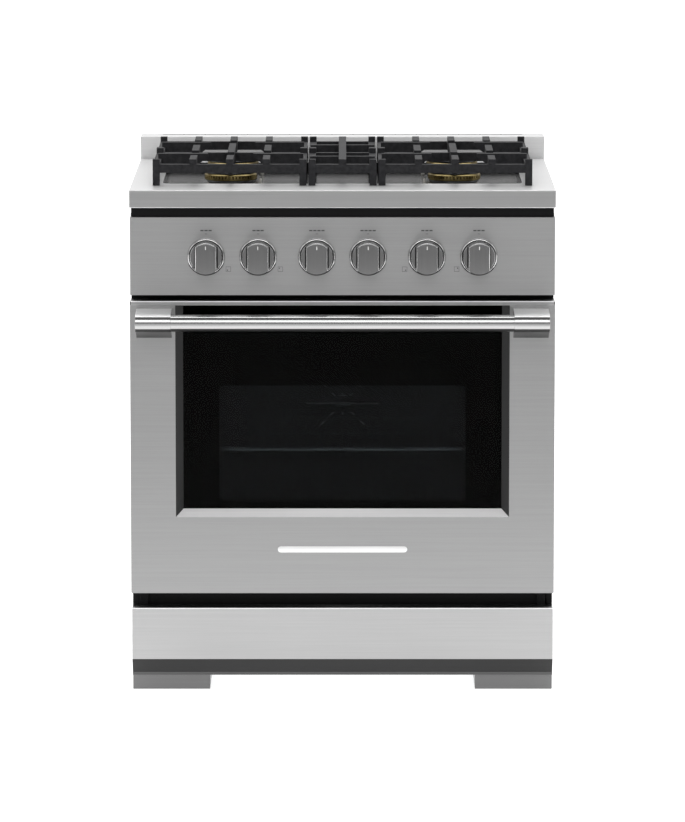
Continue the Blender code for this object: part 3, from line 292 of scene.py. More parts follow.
def painted(name, colour, roughness, scale=500.0, depth=0.0001, specular=0.5):
    """Powder coat, moulded plastic, fibre or print, by the scale and depth of its grain."""
    finish = Finish(name, colour, roughness)
    grain = finish.noise(scale, 3.0)
    finish.shade({"Specular IOR Level": specular})
    finish.colour(grain, (0.3, colour), (0.75, tuple(channel * 1.25 for channel in colour)))
    finish.roughness(grain, roughness - 0.08, roughness + 0.08)
    finish.bump(grain, depth, 0.8)


def tinted_glass(name, tint, ior=1.45):
    """Clear or grey glass with the faintest waviness."""
    finish = Finish(name, tint, 0.0)
    finish.shade({"Transmission Weight": 1.0, "IOR": ior})
    finish.bump(finish.noise(9.0, 1.0), 0.00001, 0.3)


brushed_steel("front_steel", 0.38)
# Kick steel is a lighter copy of the door's steel: painted light on the kick panel.
brushed_steel("kick_lit_steel", 0.48)
brushed_steel("panel_steel", 0.37, metallic=0.75)
# Skirt steel is a darker copy for the leg skirts: painted shade.
brushed_steel("skirt_shade_steel", 0.21, 0.34)
# Lip steel is a darker copy: painted shade on the kick's lower lip and round the dial's rim.
brushed_steel("lip_steel", 0.12, 0.34)
# Shadow steel is painted shade on downward and sideways slopes.
brushed_steel("shadow_steel", 0.05, 0.34)
# Bright steel is a lighter copy: painted highlight on the kick's upper strip and on the brackets' tops, and the
# name bar's own tone.
brushed_steel("bright_steel", 0.95, metallic=0.4)
# Sill highlight steel is a lighter copy: painted highlight on the sill below the door's window.
brushed_steel("sill_steel", 1.0, 0.45, metallic=0.3)
brushed_steel("side_steel", 0.44, along="Y")
brushed_steel("hob_steel", 0.72, 0.40, metallic=0.45, anisotropy=0.0)
brushed_steel("hob_front_steel", 0.40)
brushed_steel("well_steel", 0.055, 0.16, anisotropy=0.0)
brushed_steel("knob_steel", 0.19, along="Z")
# Grip highlight steel is a brighter copy: painted highlight on the grip's chamfers and crown.
brushed_steel("grip_edge_steel", 0.50, 0.24, along="Z")
polished_steel("handle_steel", 0.48)
polished_steel("bezel_chrome", 0.78, 0.10, along="Z")
polished_steel("rack_wire", 0.62, 0.18)
galvanised("galvanised")
cast_iron("cast_iron")
oven_enamel("cap_enamel", 0.010, 0.30)
oven_enamel("oven_enamel")
cast_metal("brass", (0.20, 0.15, 0.06), (0.52, 0.42, 0.19), 0.34)
cast_metal("aluminium", (0.34, 0.34, 0.34), (0.58, 0.58, 0.58), 0.40)
tinted_glass("outer_glass", (0.24, 0.25, 0.26), ior=1.12)
tinted_glass("inner_glass", (0.86, 0.90, 0.90))
painted("dark_steel", (0.004, 0.004, 0.0045), 0.60, specular=0.2)
painted("black_print", (0.001, 0.001, 0.001), 0.50, 200.0, 0.00001, 0.04)
painted("plastic", (0.02, 0.02, 0.02), 0.50)
painted("ceramic", (0.72, 0.70, 0.66), 0.35)
painted("gasket", (0.10, 0.10, 0.095), 0.85, 260.0, 0.0008)
painted("print_grey", (0.06, 0.06, 0.06), 0.50, 900.0, 0.00001)
painted("print_white", (0.75, 0.75, 0.73), 0.45, 900.0, 0.00001)


# ------------------------ mesh tools

def object_from(name, shape):
    """A new object in the scene from a bmesh, which is used up."""
    mesh = bpy.data.meshes.new(name)
    shape.to_mesh(mesh)
    shape.free()
    obj = bpy.data.objects.new(name, mesh)
    bpy.context.scene.collection.objects.link(obj)
    return obj


def smooth(obj, sharp=35):
    """Smooth shading, apart from edges sharper than an angle."""
    obj.data.shade_smooth()
    obj.data.set_sharp_from_angle(angle=math.radians(sharp))


def new_piece(name, shape, finish, body, flat=False):
    """Turn a bmesh into a piece of the object that rides on a body."""
    bmesh.ops.recalc_face_normals(shape, faces=shape.faces)
    obj = object_from(name, shape)
    obj.data.materials.append(MATERIALS[finish])
    if not flat:
        smooth(obj)
    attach(obj, body)
    return obj


def stand_for(obj, *nodes):
    """The piece replaces these nodes, which are hidden."""
    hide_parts(*nodes)
    return obj


def refinish(obj, **rules):
    """Each face takes the finish of the first rule it meets; rules see a face's normal and centre."""
    for finish in rules:
        obj.data.materials.append(MATERIALS[finish])
    for face in obj.data.polygons:
        met = (index for index, rule in enumerate(rules.values(), 1) if rule(face.normal, face.center))
        face.material_index = next(met, 0)


def add_box(shape, low, high):
    made = bmesh.ops.create_cube(shape, size=1.0)["verts"]
    low, high = Vector(low), Vector(high)
    size = Matrix.Diagonal([*(high - low), 1.0])
    bmesh.ops.transform(shape, matrix=Matrix.Translation((low + high) / 2) @ size, verts=made)


def bevel_sharp(shape, width, segments=3, above=30.0):
    """Round every edge that is sharper than an angle."""
    limit = math.radians(above)
    sharp = [e for e in shape.edges if len(e.link_faces) == 2 and e.calc_face_angle(0.0) > limit]
    bmesh.ops.bevel(shape, geom=sharp, offset=width, segments=segments, profile=0.5, affect="EDGES",
                    clamp_overlap=True)


def circle(steps):
    """Cosine and sine of evenly spaced angles."""
    angles = [2 * math.pi * step / steps for step in range(steps)]
    return [(math.cos(a), math.sin(a)) for a in angles]


def skin_rings(shape, rings, closed):
    """Faces from each ring of vertices to the next; a ring of one vertex is a tip."""
    steps = max(len(ring) for ring in rings)
    for low, high in zip(rings, rings[1:] + rings[:1] if closed else rings[1:]):
        for step in range(steps):
            after = (step + 1) % steps
            corners = [(low, step), (low, after), (high, after), (high, step)]
            shape.faces.new(list(dict.fromkeys(ring[place % len(ring)] for ring, place in corners)))


def add_turned(shape, profile, centre, towards, steps=96):
    """A profile of (radius, height) turned about a line; a profile off the axis closes on itself."""
    around = circle(steps)
    rings = [[shape.verts.new((radius * cos, radius * sin, height))
              for cos, sin in (around if radius else around[:1])] for radius, height in profile]
    skin_rings(shape, rings, closed=profile[0][0] > 0.0)
    turn = Vector(UP).rotation_difference(Vector(towards)).to_matrix().to_4x4()
    made = [vert for ring in rings for vert in ring]
    bmesh.ops.transform(shape, matrix=Matrix.Translation(centre) @ turn, verts=made)


def turned(profile, centre, towards, steps=96):
    shape = bmesh.new()
    add_turned(shape, profile, centre, towards, steps)
    return shape


def add_rod(shape, radius, start, end, steps=20):
    along = Vector(end) - Vector(start)
    profile = [(0.0, 0.0), (radius, 0.0), (radius, along.length), (0.0, along.length)]
    add_turned(shape, profile, start, along.normalized(), steps)


def add_tube_path(shape, radius, points, steps=12, closed=False):
    """A round wire along points, with mitred corners."""
    points = [Vector(point) for point in points]
    count = len(points)
    rings = []
    side = None
    for index, point in enumerate(points):
        before = points[index - 1] if closed or index else point
        after = points[(index + 1) % count] if closed or index < count - 1 else point
        tangent = (after - before).normalized()
        if side is None:
            side = tangent.orthogonal().normalized()
        side = (side - tangent * side.dot(tangent)).normalized()
        other = tangent.cross(side)
        rings.append([shape.verts.new(point + radius * (side * cos + other * sin))
                      for cos, sin in circle(steps)])
    skin_rings(shape, rings, closed)
    if not closed:
        shape.faces.new(list(reversed(rings[0])))
        shape.faces.new(rings[-1])


def arc(centre, radius, start, end, count):
    """Points on an arc in a plane, in degrees, ends included."""
    angles = [math.radians(start + (end - start) * step / count) for step in range(count + 1)]
    return [(centre[0] + radius * math.cos(a), centre[1] + radius * math.sin(a)) for a in angles]


def rounded_loop(low, high, radius, count):
    """A rectangle in a plane with rounded corners, as points from its lower right corner on."""
    corners = [(high[0] - radius, low[1] + radius), (high[0] - radius, high[1] - radius),
               (low[0] + radius, high[1] - radius), (low[0] + radius, low[1] + radius)]
    return [point for quarter, corner in enumerate(corners)
            for point in arc(corner, radius, 90 * quarter - 90, 90 * quarter, count)]


def add_extrusion(shape, outline, axis, span):
    """An outline drawn across an axis and extruded along it."""
    place = {"X": lambda u, v, w: (w, u, v),
             "Y": lambda u, v, w: (u, w, v),
             "Z": lambda u, v, w: (u, v, w)}[axis]
    face = shape.faces.new([shape.verts.new(place(u, v, span[0])) for u, v in outline])
    grown = bmesh.ops.extrude_face_region(shape, geom=[face])["geom"]
    moved = [part for part in grown if isinstance(part, bmesh.types.BMVert)]
    bmesh.ops.translate(shape, vec=place(0.0, 0.0, span[1] - span[0]), verts=moved)


def round_edges(obj, width, segments=3, above=38.0):
    """Modifiers that round sharp edges, while large flat faces keep their own normals."""
    bevel = obj.modifiers.new("rounded_edges", "BEVEL")
    bevel.width = width
    bevel.segments = segments
    bevel.limit_method = "ANGLE"
    bevel.angle_limit = math.radians(above)
    smooth(obj, 80)
    weigh = obj.modifiers.new("weighted_normals", "WEIGHTED_NORMAL")
    weigh.mode = "FACE_AREA"
    weigh.weight = 100
    weigh.keep_sharp = True
    return obj


def rounded_copy(node, finish, width=0.0005, segments=2):
    """The node's own shape with rounded edges, so that its folds and corners catch the light."""
    shape = bmesh.new()
    shape.from_mesh(NODES[node].data)
    bmesh.ops.remove_doubles(shape, verts=shape.verts, dist=0.000002)
    flat = math.radians(0.8)
    if node.startswith("grate_"):      # dissolving a grate's large faces folds one of them over its finger gaps
        bmesh.ops.join_triangles(shape, faces=shape.faces, angle_face_threshold=flat,
                                 angle_shape_threshold=math.pi)
    else:
        bmesh.ops.dissolve_limit(shape, angle_limit=flat, verts=shape.verts, edges=shape.edges)
    obj = new_piece(f"{node}_looks", shape, finish, NODE_BODY[node])
    return stand_for(round_edges(obj, width, segments), node)


def give_finish(node, finish):
    """A carried-over CAD node takes a finished material."""
    for place in NODES[node].material_slots:
        place.material = MATERIALS[finish]


def carve(obj, operation, *tools):
    """Apply Booleans and delete their tools."""
    for tool in tools:
        step = obj.modifiers.new(operation, "BOOLEAN")
        step.operation = operation
        step.solver = "EXACT"
        step.object = tool
    graph = bpy.context.evaluated_depsgraph_get()
    mesh = bpy.data.meshes.new_from_object(obj.evaluated_get(graph))
    obj.modifiers.clear()
    obj.data = mesh
    for tool in tools:
        bpy.data.objects.remove(tool)


def tool_from(shape):
    """A shape as a Boolean tool."""
    bmesh.ops.recalc_face_normals(shape, faces=shape.faces)
    return object_from("tool", shape)


def tool_box(low, high, radius=0.0, axis=2):
    """A Boolean tool: a box, with its corners along an axis rounded where asked."""
    shape = bmesh.new()
    add_box(shape, low, high)
    if radius:
        along = [e for e in shape.edges if abs((e.verts[0].co - e.verts[1].co).normalized()[axis]) > 0.9]
        bmesh.ops.bevel(shape, geom=along, offset=radius, segments=8, profile=0.5, affect="EDGES")
    return tool_from(shape)


# ------------------------ hob

SHEET = 0.0015                 # thickness of the hob's and the rear upstand's steel


def make_shell(name, low, high, radius, segments):
    """A box of hob steel with soft outer edges, and the tool that hollows it out from below."""
    shape = bmesh.new()
    add_box(shape, low, high)
    bevel_sharp(shape, radius, segments)
    hollow = tool_box(low + Vector((SHEET, SHEET, -0.01)), high - Vector((SHEET, SHEET, SHEET)))
    return new_piece(name, shape, "hob_steel", "range_body"), hollow


def make_hob():
    """Pressed hob: soft outer edges, a sunk tray with rounded corners and a throat hole at each burner."""
    throat, outer_corner, inner_corner = 0.0184, 0.020, 0.0185
    hob, hollow = make_shell("hob_top", HOB_LOW, HOB_HIGH, 0.0022, 4)
    well_low, well_high = well_box()
    tray_low = well_low - Vector((SHEET, SHEET, SHEET))
    tray_high = Vector((well_high.x + SHEET, well_high.y + SHEET, HOB_HIGH.z - SHEET / 2))
    carve(hob, "DIFFERENCE", hollow)
    carve(hob, "UNION", tool_box(tray_low, tray_high, outer_corner))
    carve(hob, "DIFFERENCE", tool_box(well_low, well_high + Vector((0, 0, 0.01)), inner_corner))
    for name in BURNER_NAMES:
        centre = burner_centre(name)
        shape = bmesh.new()
        add_rod(shape, throat, centre - Vector((0, 0, 0.04)), centre + Vector((0, 0, 0.02)), 48)
        carve(hob, "DIFFERENCE", tool_from(shape))
    finish_hob(hob, well_low, well_high)
    hob.modifiers.new("triangles", "TRIANGULATE")
    stand_for(round_edges(hob, 0.0007, 2, 50), "cooktop")


def finish_hob(hob, low, high):
    """The tray is in darker, glossier steel, and the outer sides are brushed."""
    near, edge = 0.0002, 0.001

    def in_well(normal, centre):
        across = low.x - near < centre.x < high.x + near and low.y - near < centre.y < high.y + near
        return across and low.z - near < centre.z < high.z - near

    def on_front(normal, centre):
        return normal.y < -0.9 and centre.y < HOB_LOW.y + edge

    def on_side_or_rear(normal, centre):
        side = abs(normal.x) > 0.9 and abs(centre.x) > HOB_HIGH.x - edge
        return side or (normal.y > 0.9 and centre.y > HOB_HIGH.y - edge)

    refinish(hob, well_steel=in_well, hob_front_steel=on_front, side_steel=on_side_or_rear)


def well_box():
    """The spill tray's inside, read from the flat parts of the CAD hob."""
    mesh = NODES["cooktop"].data
    inner = [v.co for v in mesh.vertices if abs(v.co.x) < HOB_HIGH.x - 0.02 and v.co.y > HOB_LOW.y + 0.02]
    floor = [co for co in inner if HOB_LOW.z + 0.017 < co.z < HOB_HIGH.z - 0.010]
    half = max(co.x for co in floor)
    rim = [co for co in inner if abs(co.z - HOB_HIGH.z) < 0.0001]
    x = max(co.x for co in rim)
    low_y, high_y = min(co.y for co in rim), max(co.y for co in rim)
    floor_z = max(co.z for co in floor)
    return Vector((-min(half, x), low_y, floor_z)), Vector((min(half, x), high_y, HOB_HIGH.z))


def burner_centre(name):
    low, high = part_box(f"burner_head_{name}")
    return Vector(((low.x + high.x) / 2, (low.y + high.y) / 2, well_box()[0].z))


def make_back_trim():
    """Rear upstand with a ribbed flue slot along its top."""
    inset, width, rear, lap = 0.040, 0.014, 0.010, 0.0002
    low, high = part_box("back_trim")
    trim, hollow = make_shell("rear_upstand", low, high, 0.0016, 3)
    slot = tool_box((low.x + inset, high.y - rear - width, high.z - 0.01),
                    (high.x - inset, high.y - rear, high.z + 0.01))
    carve(trim, "DIFFERENCE", hollow, slot)
    refinish(trim, side_steel=lambda normal, centre: normal.y > 0.5 or abs(normal.x) > 0.5)
    stand_for(trim, "back_trim")
    count, half = 17, 0.0012
    pitch = (high.x - low.x - 2 * inset) / count
    shape = bmesh.new()
    for step in range(1, count):
        x = low.x + inset + step * pitch
        add_box(shape, (x - half, high.y - rear - width + lap, high.z - 0.012),
                (x + half, high.y - rear - lap, high.z - 0.0005))
    new_piece("flue_ribs", shape, "dark_steel", "range_body")


def make_burner(name):
    """Aluminium base, slotted brass flame ring and black enamelled cap."""
    head_low, head_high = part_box(f"burner_head_{name}")
    cap_low, cap_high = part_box(f"burner_cap_{name}")
    x, y = (head_low.x + head_high.x) / 2, (head_low.y + head_high.y) / 2
    tray, radius = burner_centre(name).z + 0.0004, (head_high.x - head_low.x) / 2
    throat, foot, base_top = 0.018, 0.0368, tray + 0.0135
    base = [(0, head_low.z), (throat, head_low.z), (throat, tray), (foot - 0.0008, tray), (foot, tray + 0.0008),
            (foot, tray + 0.005), (radius - 0.004, tray + 0.0115), (radius - 0.004, base_top), (0, base_top)]
    body = new_piece(f"burner_base_{name}", turned(base, (x, y, 0), UP), "aluminium", "range_body")
    stand_for(body, f"burner_head_{name}")
    shape = flame_ring((x, y), radius, base_top + 0.0004, head_high.z)
    new_piece(f"flame_ring_{name}", shape, "brass", "range_body")
    cap_radius, edge = (cap_high.x - cap_low.x) / 2, 0.0016
    dished = cap_high.z - (cap_high.z - cap_low.z) * 0.18
    profile = [(0, cap_low.z), (cap_radius - 0.001, cap_low.z), (cap_radius, cap_low.z + 0.0006)]
    profile += arc((cap_radius - edge, cap_high.z - edge), edge, 0, 90, 6)
    profile += [(cap_radius * 0.72, cap_high.z), (cap_radius * 0.66, dished), (0, dished)]
    cap = new_piece(f"cap_{name}", turned(profile, (x, y, 0), UP), "cap_enamel", "range_body")
    stand_for(cap, f"burner_cap_{name}")
    make_igniter(name, x, y, tray, radius)


def flame_ring(centre, radius, low, high):
    """A turned brass ring whose middle band is cut into flame ports."""
    ports, per_port, cut_steps, depth, wall = 48, 6, 2, 0.0035, 0.012
    around = circle(ports * per_port)
    bottom, top = low + (high - low) * 0.28, low + (high - low) * 0.74
    levels = [(low, 0.0012, 0), (low + 0.0010, 0.0, 0), (bottom, 0.0, 0), (bottom + 0.0002, 0.0, depth),
              (top - 0.0002, 0.0, depth), (top, 0.0, 0), (high - 0.0022, 0.0, 0), (high - 0.0008, 0.0010, 0),
              (high, 0.0030, 0), (high, wall, 0), (low, wall, 0)]
    shape = bmesh.new()
    rings = []
    for z, inset, cut in levels:
        ring = []
        for step, (cos, sin) in enumerate(around):
            reach = radius - inset - (cut if step % per_port >= per_port - cut_steps else 0.0)
            ring.append(shape.verts.new((centre[0] + reach * cos, centre[1] + reach * sin, z)))
        rings.append(ring)
    skin_rings(shape, rings, closed=True)
    return shape


def make_igniter(name, x, y, tray, radius):
    """Ceramic electrode with its spark tip, on the burner's inner side."""
    side = -1 if x > 0 else 1
    foot, neck, tip, height = 0.0036, 0.0026, 0.0018, 0.0145
    place = Vector((x + side * (radius + 0.006), y + 0.004, tray))
    profile = [(0, 0), (foot, 0), (foot, 0.004), (neck, 0.005), (neck, 0.013), (tip, height), (0, height)]
    new_piece(f"igniter_{name}", turned(profile, place, UP, 24), "ceramic", "range_body")
    shape = bmesh.new()
    top = place + Vector((0, 0, height))
    bend, end = top + Vector((0, 0, 0.003)), top + Vector((-side * 0.004, 0, 0.0045))
    add_tube_path(shape, 0.0006, [top, bend, end], 8)
    new_piece(f"spark_tip_{name}", shape, "aluminium", "range_body")


def make_grates():
    for name in ("left", "center", "right"):
        rounded_copy(f"grate_{name}", "cast_iron", 0.0016, 3)
        make_grate_feet(name)


def make_grate_feet(name):
    """Rubber pads under the grate's corner legs."""
    low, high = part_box(f"grate_{name}")
    half, thickness, inset = 0.0045, 0.0004, 0.0063
    shape = bmesh.new()
    for x in (low.x + inset, high.x - inset):
        for y in (low.y + inset, high.y - inset):
            centre = Vector((x, y, low.z))
            add_box(shape, centre - Vector((half, half, thickness)), centre + Vector((half, half, 0.0006)))
    new_piece(f"grate_pads_{name}", shape, "plastic", f"grate_{name}")


# ------------------------ control panel

def panel_face():
    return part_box("control_panel")[0].y


def knob_centre(name):
    low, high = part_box(f"bezel_{name}")
    return Vector(((low.x + high.x) / 2, high.y, (low.z + high.z) / 2))


def make_bezel(name):
    """Turned chrome ring with a domed lip and painted shade underneath, round a sunk black floor."""
    low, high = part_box(f"bezel_{name}")
    radius, height = (high.x - low.x) / 2, high.y - low.y
    floor, bore, slope, foot = 0.0031, 0.0046, 0.0033, 0.0008
    groove = radius - 0.0037
    quarter = arc((0.0, 0.0), 1.0, 0, 90, 10)
    profile = [(bore, 0.0), (radius, 0.0)]
    profile += [(radius - slope + slope * out, foot + (height - foot) * rise) for out, rise in quarter]
    profile += [(groove, height - 0.0003), (groove - 0.0002, floor), (bore, floor)]
    shape = turned(profile, knob_centre(name), TO_FRONT, 128)
    ring = new_piece(f"bezel_ring_{name}", shape, "bezel_chrome", "range_body")
    # Painted shade: the ring's downward faces take very dark steel.
    refinish(ring, shadow_steel=facing_down(-0.30))
    stand_for(ring, f"bezel_{name}")
    inner, outer, below, above = 0.010, groove - 0.0001, floor - 0.0002, floor + 0.0003
    profile = [(inner, below), (outer, below), (outer, above), (inner, above)]
    shape = turned(profile, knob_centre(name), TO_FRONT)
    new_piece(f"bezel_floor_{name}", shape, "dark_steel", "range_body")


def facing_down(limit):
    """A rule for the downward side, which takes painted shade."""
    return lambda normal, centre: normal.z < limit


def make_knob(name):
    """Machined dial: painted shade on its rim, and a grip bar with chamfered flanks and a crowned face."""
    low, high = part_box(f"knob_{name}")
    radius, front = (high.x - low.x) / 2, low.y
    depth, plate, half, chamfer, crown_round = 0.036, 0.009, 0.0375 / 2, 0.0020, 0.0034
    seat = Vector(((low.x + high.x) / 2, front + depth, (low.z + high.z) / 2))
    body = NODE_BODY[f"knob_{name}"]
    profile = [(0, 0), (radius - 0.0004, 0), (radius, 0.0006), (radius, plate - 0.0016),
               (radius - 0.0014, plate), (0, plate)]
    knob = new_piece(f"dial_{name}_looks", turned(profile, seat, TO_FRONT, 128), "knob_steel", body)
    reach, shoulder, height = radius - 0.0004, depth - 0.0042, seat.y - front
    crown = [(0, plate - 0.001), (reach, plate - 0.001), (reach, shoulder)]
    crown += arc((reach - crown_round, shoulder), crown_round, 0, 68, 6)
    crown += [(reach * 0.55, height - 0.0002), (0, height)]
    bar = tool_from(turned(crown, seat, TO_FRONT, 128))
    slab = bmesh.new()
    right = [(half, seat.y - plate + 0.002), (half, front + chamfer), (half - chamfer, front),
             (half - chamfer, front - 0.004)]
    outline = [(seat.x + x, y) for x, y in right] + [(seat.x - x, y) for x, y in reversed(right)]
    add_extrusion(slab, outline, "Z", (seat.z - radius - 0.002, seat.z + radius + 0.002))
    carve(bar, "INTERSECT", tool_from(slab))
    carve(knob, "UNION", bar)
    paint_knob_shade_and_highlight(knob, seat, radius)
    stand_for(round_edges(knob, 0.0005, 2, 40), f"knob_{name}")
    make_pointer(name, seat, radius, front)
    # Painted shadow: thin dark strips on the dial beside the grip's flanks.
    reach = math.sqrt(radius ** 2 - (half + 0.0024) ** 2) - 0.001
    shape = bmesh.new()
    for side in SIDES.values():
        x = seat.x + side * (half + 0.0013)
        add_box(shape, (x - 0.0010, seat.y - plate - 0.0002, seat.z - reach),
                (x + 0.0010, seat.y - plate + 0.0006, seat.z + reach))
    new_piece(f"grip_shadow_strip_{name}", shape, "dark_steel", body)


def paint_knob_shade_and_highlight(knob, seat, radius):
    """Painted shade as a darker rim all round the dial, painted highlight on the grip's chamfers and the top of
    its crown.
    """
    def shaded_rim(normal, centre):
        out = Vector((centre.x - seat.x, 0.0, centre.z - seat.z))
        return abs(normal.y) < 0.35 and out.length > radius - 0.003 and out.normalized().dot(normal) > 0.7

    def highlit_chamfer(normal, centre):
        return normal.y < -0.3 and (abs(normal.x) > 0.4 or normal.z > 0.35)

    refinish(knob, lip_steel=shaded_rim, grip_edge_steel=highlit_chamfer)


def make_pointer(name, centre, radius, front):
    """White index line at the top of the grip's face."""
    shape = bmesh.new()
    add_box(shape, (centre.x - 0.0007, front - 0.0002, centre.z + radius - 0.0125),
            (centre.x + 0.0007, front + 0.0012, centre.z + radius - 0.0065))
    bevel_sharp(shape, 0.0002, 2)
    new_piece(f"pointer_{name}", shape, "print_white", NODE_BODY[f"knob_{name}"])


PRINT_THICKNESS = 0.00025


def print_box(shape, x, z, width, height):
    face = panel_face()
    add_box(shape, (x - width / 2, face - PRINT_THICKNESS, z - height / 2),
            (x + width / 2, face + 0.0002, z + height / 2))


def make_panel_marks():
    """Generic marks: an index tick and dashes over each knob, a hob locator beside each burner knob."""
    shape = bmesh.new()
    for name in KNOB_NAMES:
        centre = knob_centre(name)
        print_box(shape, centre.x, centre.z + 0.0405, 0.0042, 0.0007)
        dashes = 4 if name.startswith("oven") else 3
        for step in range(dashes):
            x = centre.x + (step - (dashes - 1) / 2) * 0.0072
            print_box(shape, x, centre.z + 0.0465, 0.0056, 0.0022)
        if name in BURNER_NAMES:
            add_locator(shape, name, centre)
    new_piece("panel_marks", shape, "print_grey", "range_body", flat=True)


def add_locator(shape, name, centre):
    """A small square plan of the hob with one dot where the burner is."""
    inward = -1 if centre.x > 0 else 1
    x, z = centre.x + inward * 0.0395, centre.z - 0.0225
    half, line = 0.0042, 0.0005
    for sign in (-1, 1):
        print_box(shape, x, z + sign * half, 2 * half + line, line)
        print_box(shape, x + sign * half, z, line, 2 * half - line)
    up = 1 if name.startswith("rear") else -1
    print_box(shape, x - inward * half * 0.4, z + up * half * 0.42, 0.0019, 0.0019)


def make_front():
    rounded_copy("control_panel", "panel_steel", 0.0006)
    rounded_copy("front_frame", "dark_steel")
    make_kick()
    for side in SIDES:
        # The leg skirts take a darker copy of the steel: painted shade.
        rounded_copy(f"leg_skirt_{side}", "skirt_shade_steel")
    for name in KNOB_NAMES:
        make_bezel(name)
        make_knob(name)
    make_panel_marks()


def make_kick():
    """Kick panel in a lighter copy of the steel, with painted shade on its tucked-in slope and its lower lip,
    and a painted highlight strip along its upper edge.
    """
    low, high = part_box("kick_panel")
    kick = rounded_copy("kick_panel", "kick_lit_steel", 0.0006)
    # Painted shade: very dark steel on the downward slope, dark steel on the lower lip.
    refinish(kick, shadow_steel=lambda normal, centre: normal.y < -0.2 and normal.z < -0.2,
             lip_steel=lambda normal, centre: normal.y < -0.8 and centre.z < low.z + 0.01)
    # Painted highlight: a thin strip of bright steel along the kick's upper edge.
    inset, proud = 0.0006, 0.0003
    shape = bmesh.new()
    add_box(shape, (low.x + inset, low.y - proud, high.z - 0.0017),
            (high.x - inset, low.y + 0.0012, high.z + proud))
    bevel_sharp(shape, 0.0006, 3)
    new_piece("kick_highlight_strip", shape, "bright_steel", "range_body")


# ------------------------ oven door

HANDLE_SHADOW = -0.56          # normals of the handle and its brackets below this get painted shade


def make_door():
    paint_recess_shade_and_highlight(rounded_copy("door_skin", "front_steel"))
    rounded_copy("door_liner", "oven_enamel", 0.0006)
    give_finish("door_outer_glass", "outer_glass")
    give_finish("door_inner_glass", "inner_glass")
    make_glass_print()
    make_handle()
    make_name_bar()
    make_liner_screws()


def paint_recess_shade_and_highlight(skin):
    """Painted shade and highlight on the slopes round the window: dark cheeks beside it, a bright sill below.
    """
    refinish(skin, shadow_steel=lambda normal, centre: normal.y < -0.3 and abs(normal.x) > 0.3,
             sill_steel=lambda normal, centre: normal.y < -0.3 and normal.z > 0.3)


def make_glass_print():
    """Black print behind the outer glass, with a rounded see-through pane."""
    low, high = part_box("door_outer_glass")
    inner_low, inner_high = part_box("door_inner_glass")
    ledge, radius, thickness, margin = 0.012, 0.008, 0.00030, 0.001
    y = high.y + 0.00015
    shape = bmesh.new()
    add_box(shape, (low.x + margin, y, low.z + margin), (high.x - margin, y + thickness, high.z - margin))
    sheet = new_piece("glass_print", shape, "black_print", "oven_door", flat=True)
    carve(sheet, "DIFFERENCE", tool_box((inner_low.x + ledge, y - 0.01, inner_low.z + ledge),
                                        (inner_high.x - ledge, y + 0.01, inner_high.z - ledge), radius, 1))


def make_handle():
    """Round handle bar in two cast brackets, with painted shade along their undersides."""
    low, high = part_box("handle_bar")
    radius, length, edge = (high.z - low.z) / 2, high.x - low.x, 0.001
    y, z = (low.y + high.y) / 2, (low.z + high.z) / 2
    profile = [(0, 0), (radius - edge, 0), (radius, edge), (radius, length - edge), (radius - edge, length),
               (0, length)]
    tube = new_piece("handle_tube", turned(profile, (low.x, y, z), (1, 0, 0), 128), "handle_steel", "oven_door")
    # Painted shade on the bar's underside.
    refinish(tube, shadow_steel=facing_down(HANDLE_SHADOW))
    stand_for(tube, "handle_bar")
    for side, sign in SIDES.items():
        make_bracket(side, sign, y, z)


def make_bracket(side, sign, y, z):
    """Cast bracket: a wedge from the door that runs into a round sleeve."""
    low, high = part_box(f"handle_bracket_{side}")
    sleeve, root = y - low.y, high.y
    outline = [(root, high.z), (root - 0.010, high.z)] + arc((y, z), sleeve, 75, 285, 35)
    outline += [(root - 0.013, low.z + 0.004), (root - 0.004, low.z), (root, low.z)]
    shape = bmesh.new()
    add_extrusion(shape, outline, "X", (low.x, high.x))
    bracket = new_piece(f"bracket_{side}", shape, "handle_steel", "oven_door")
    tube_low, tube_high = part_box("handle_bar")
    bore = bmesh.new()
    inner = (high.x if sign < 0 else low.x) - sign * 0.01
    reach = (tube_low.x if sign < 0 else tube_high.x) + sign * 0.0004
    add_rod(bore, (tube_high.z - tube_low.z) / 2 + 0.0003, (inner, y, z), (reach, y, z), 128)
    carve(bracket, "DIFFERENCE", tool_from(bore))
    crest = sleeve * 0.8

    def underneath(normal, centre):
        return normal.z < HANDLE_SHADOW or (centre.z < z - crest and abs(normal.x) < 0.5)

    # Painted shade on the downward faces and below the sleeve, painted highlight on the upward faces above it.
    refinish(bracket, shadow_steel=underneath,
             bright_steel=lambda normal, centre: normal.z > 0.1 and centre.z > z + crest)
    stand_for(round_edges(bracket, 0.0011, 3, 50), f"handle_bracket_{side}")


def make_name_bar():
    """A blank raised bar low on the door, in place of any wording."""
    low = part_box("door_skin")[0]
    face, z = low.y + 0.002, low.z + 0.0795
    half, reach = 0.0055, 0.1105
    outline = arc((reach, z), half, -90, 90, 8) + arc((-reach, z), half, 90, 270, 8)
    shape = bmesh.new()
    add_extrusion(shape, outline, "Y", (face - 0.0012, face + 0.0004))
    bevel_sharp(shape, 0.0004, 2, 60)
    new_piece("door_blank_bar", shape, "bright_steel", "oven_door")


def add_screw(shape, place, towards, radius=0.0036):
    """A dome-headed screw with a dished recess in its middle."""
    profile = [(0, 0), (radius, 0), (radius, 0.0006), (radius * 0.8, 0.0015), (radius * 0.45, 0.0020),
               (radius * 0.42, 0.0012), (0, 0.0010)]
    add_turned(shape, profile, place, towards, 20)


def make_liner_screws():
    low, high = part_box("door_liner")
    shape = bmesh.new()
    for x in (low.x + 0.030, low.x + 0.22, high.x - 0.22, high.x - 0.030):
        for z in (low.z + 0.050, high.z - 0.022):
            add_screw(shape, (x, high.y - 0.0001, z), TO_BACK, 0.0030)
    new_piece("liner_screws", shape, "galvanised", "oven_door")


# ------------------------ oven

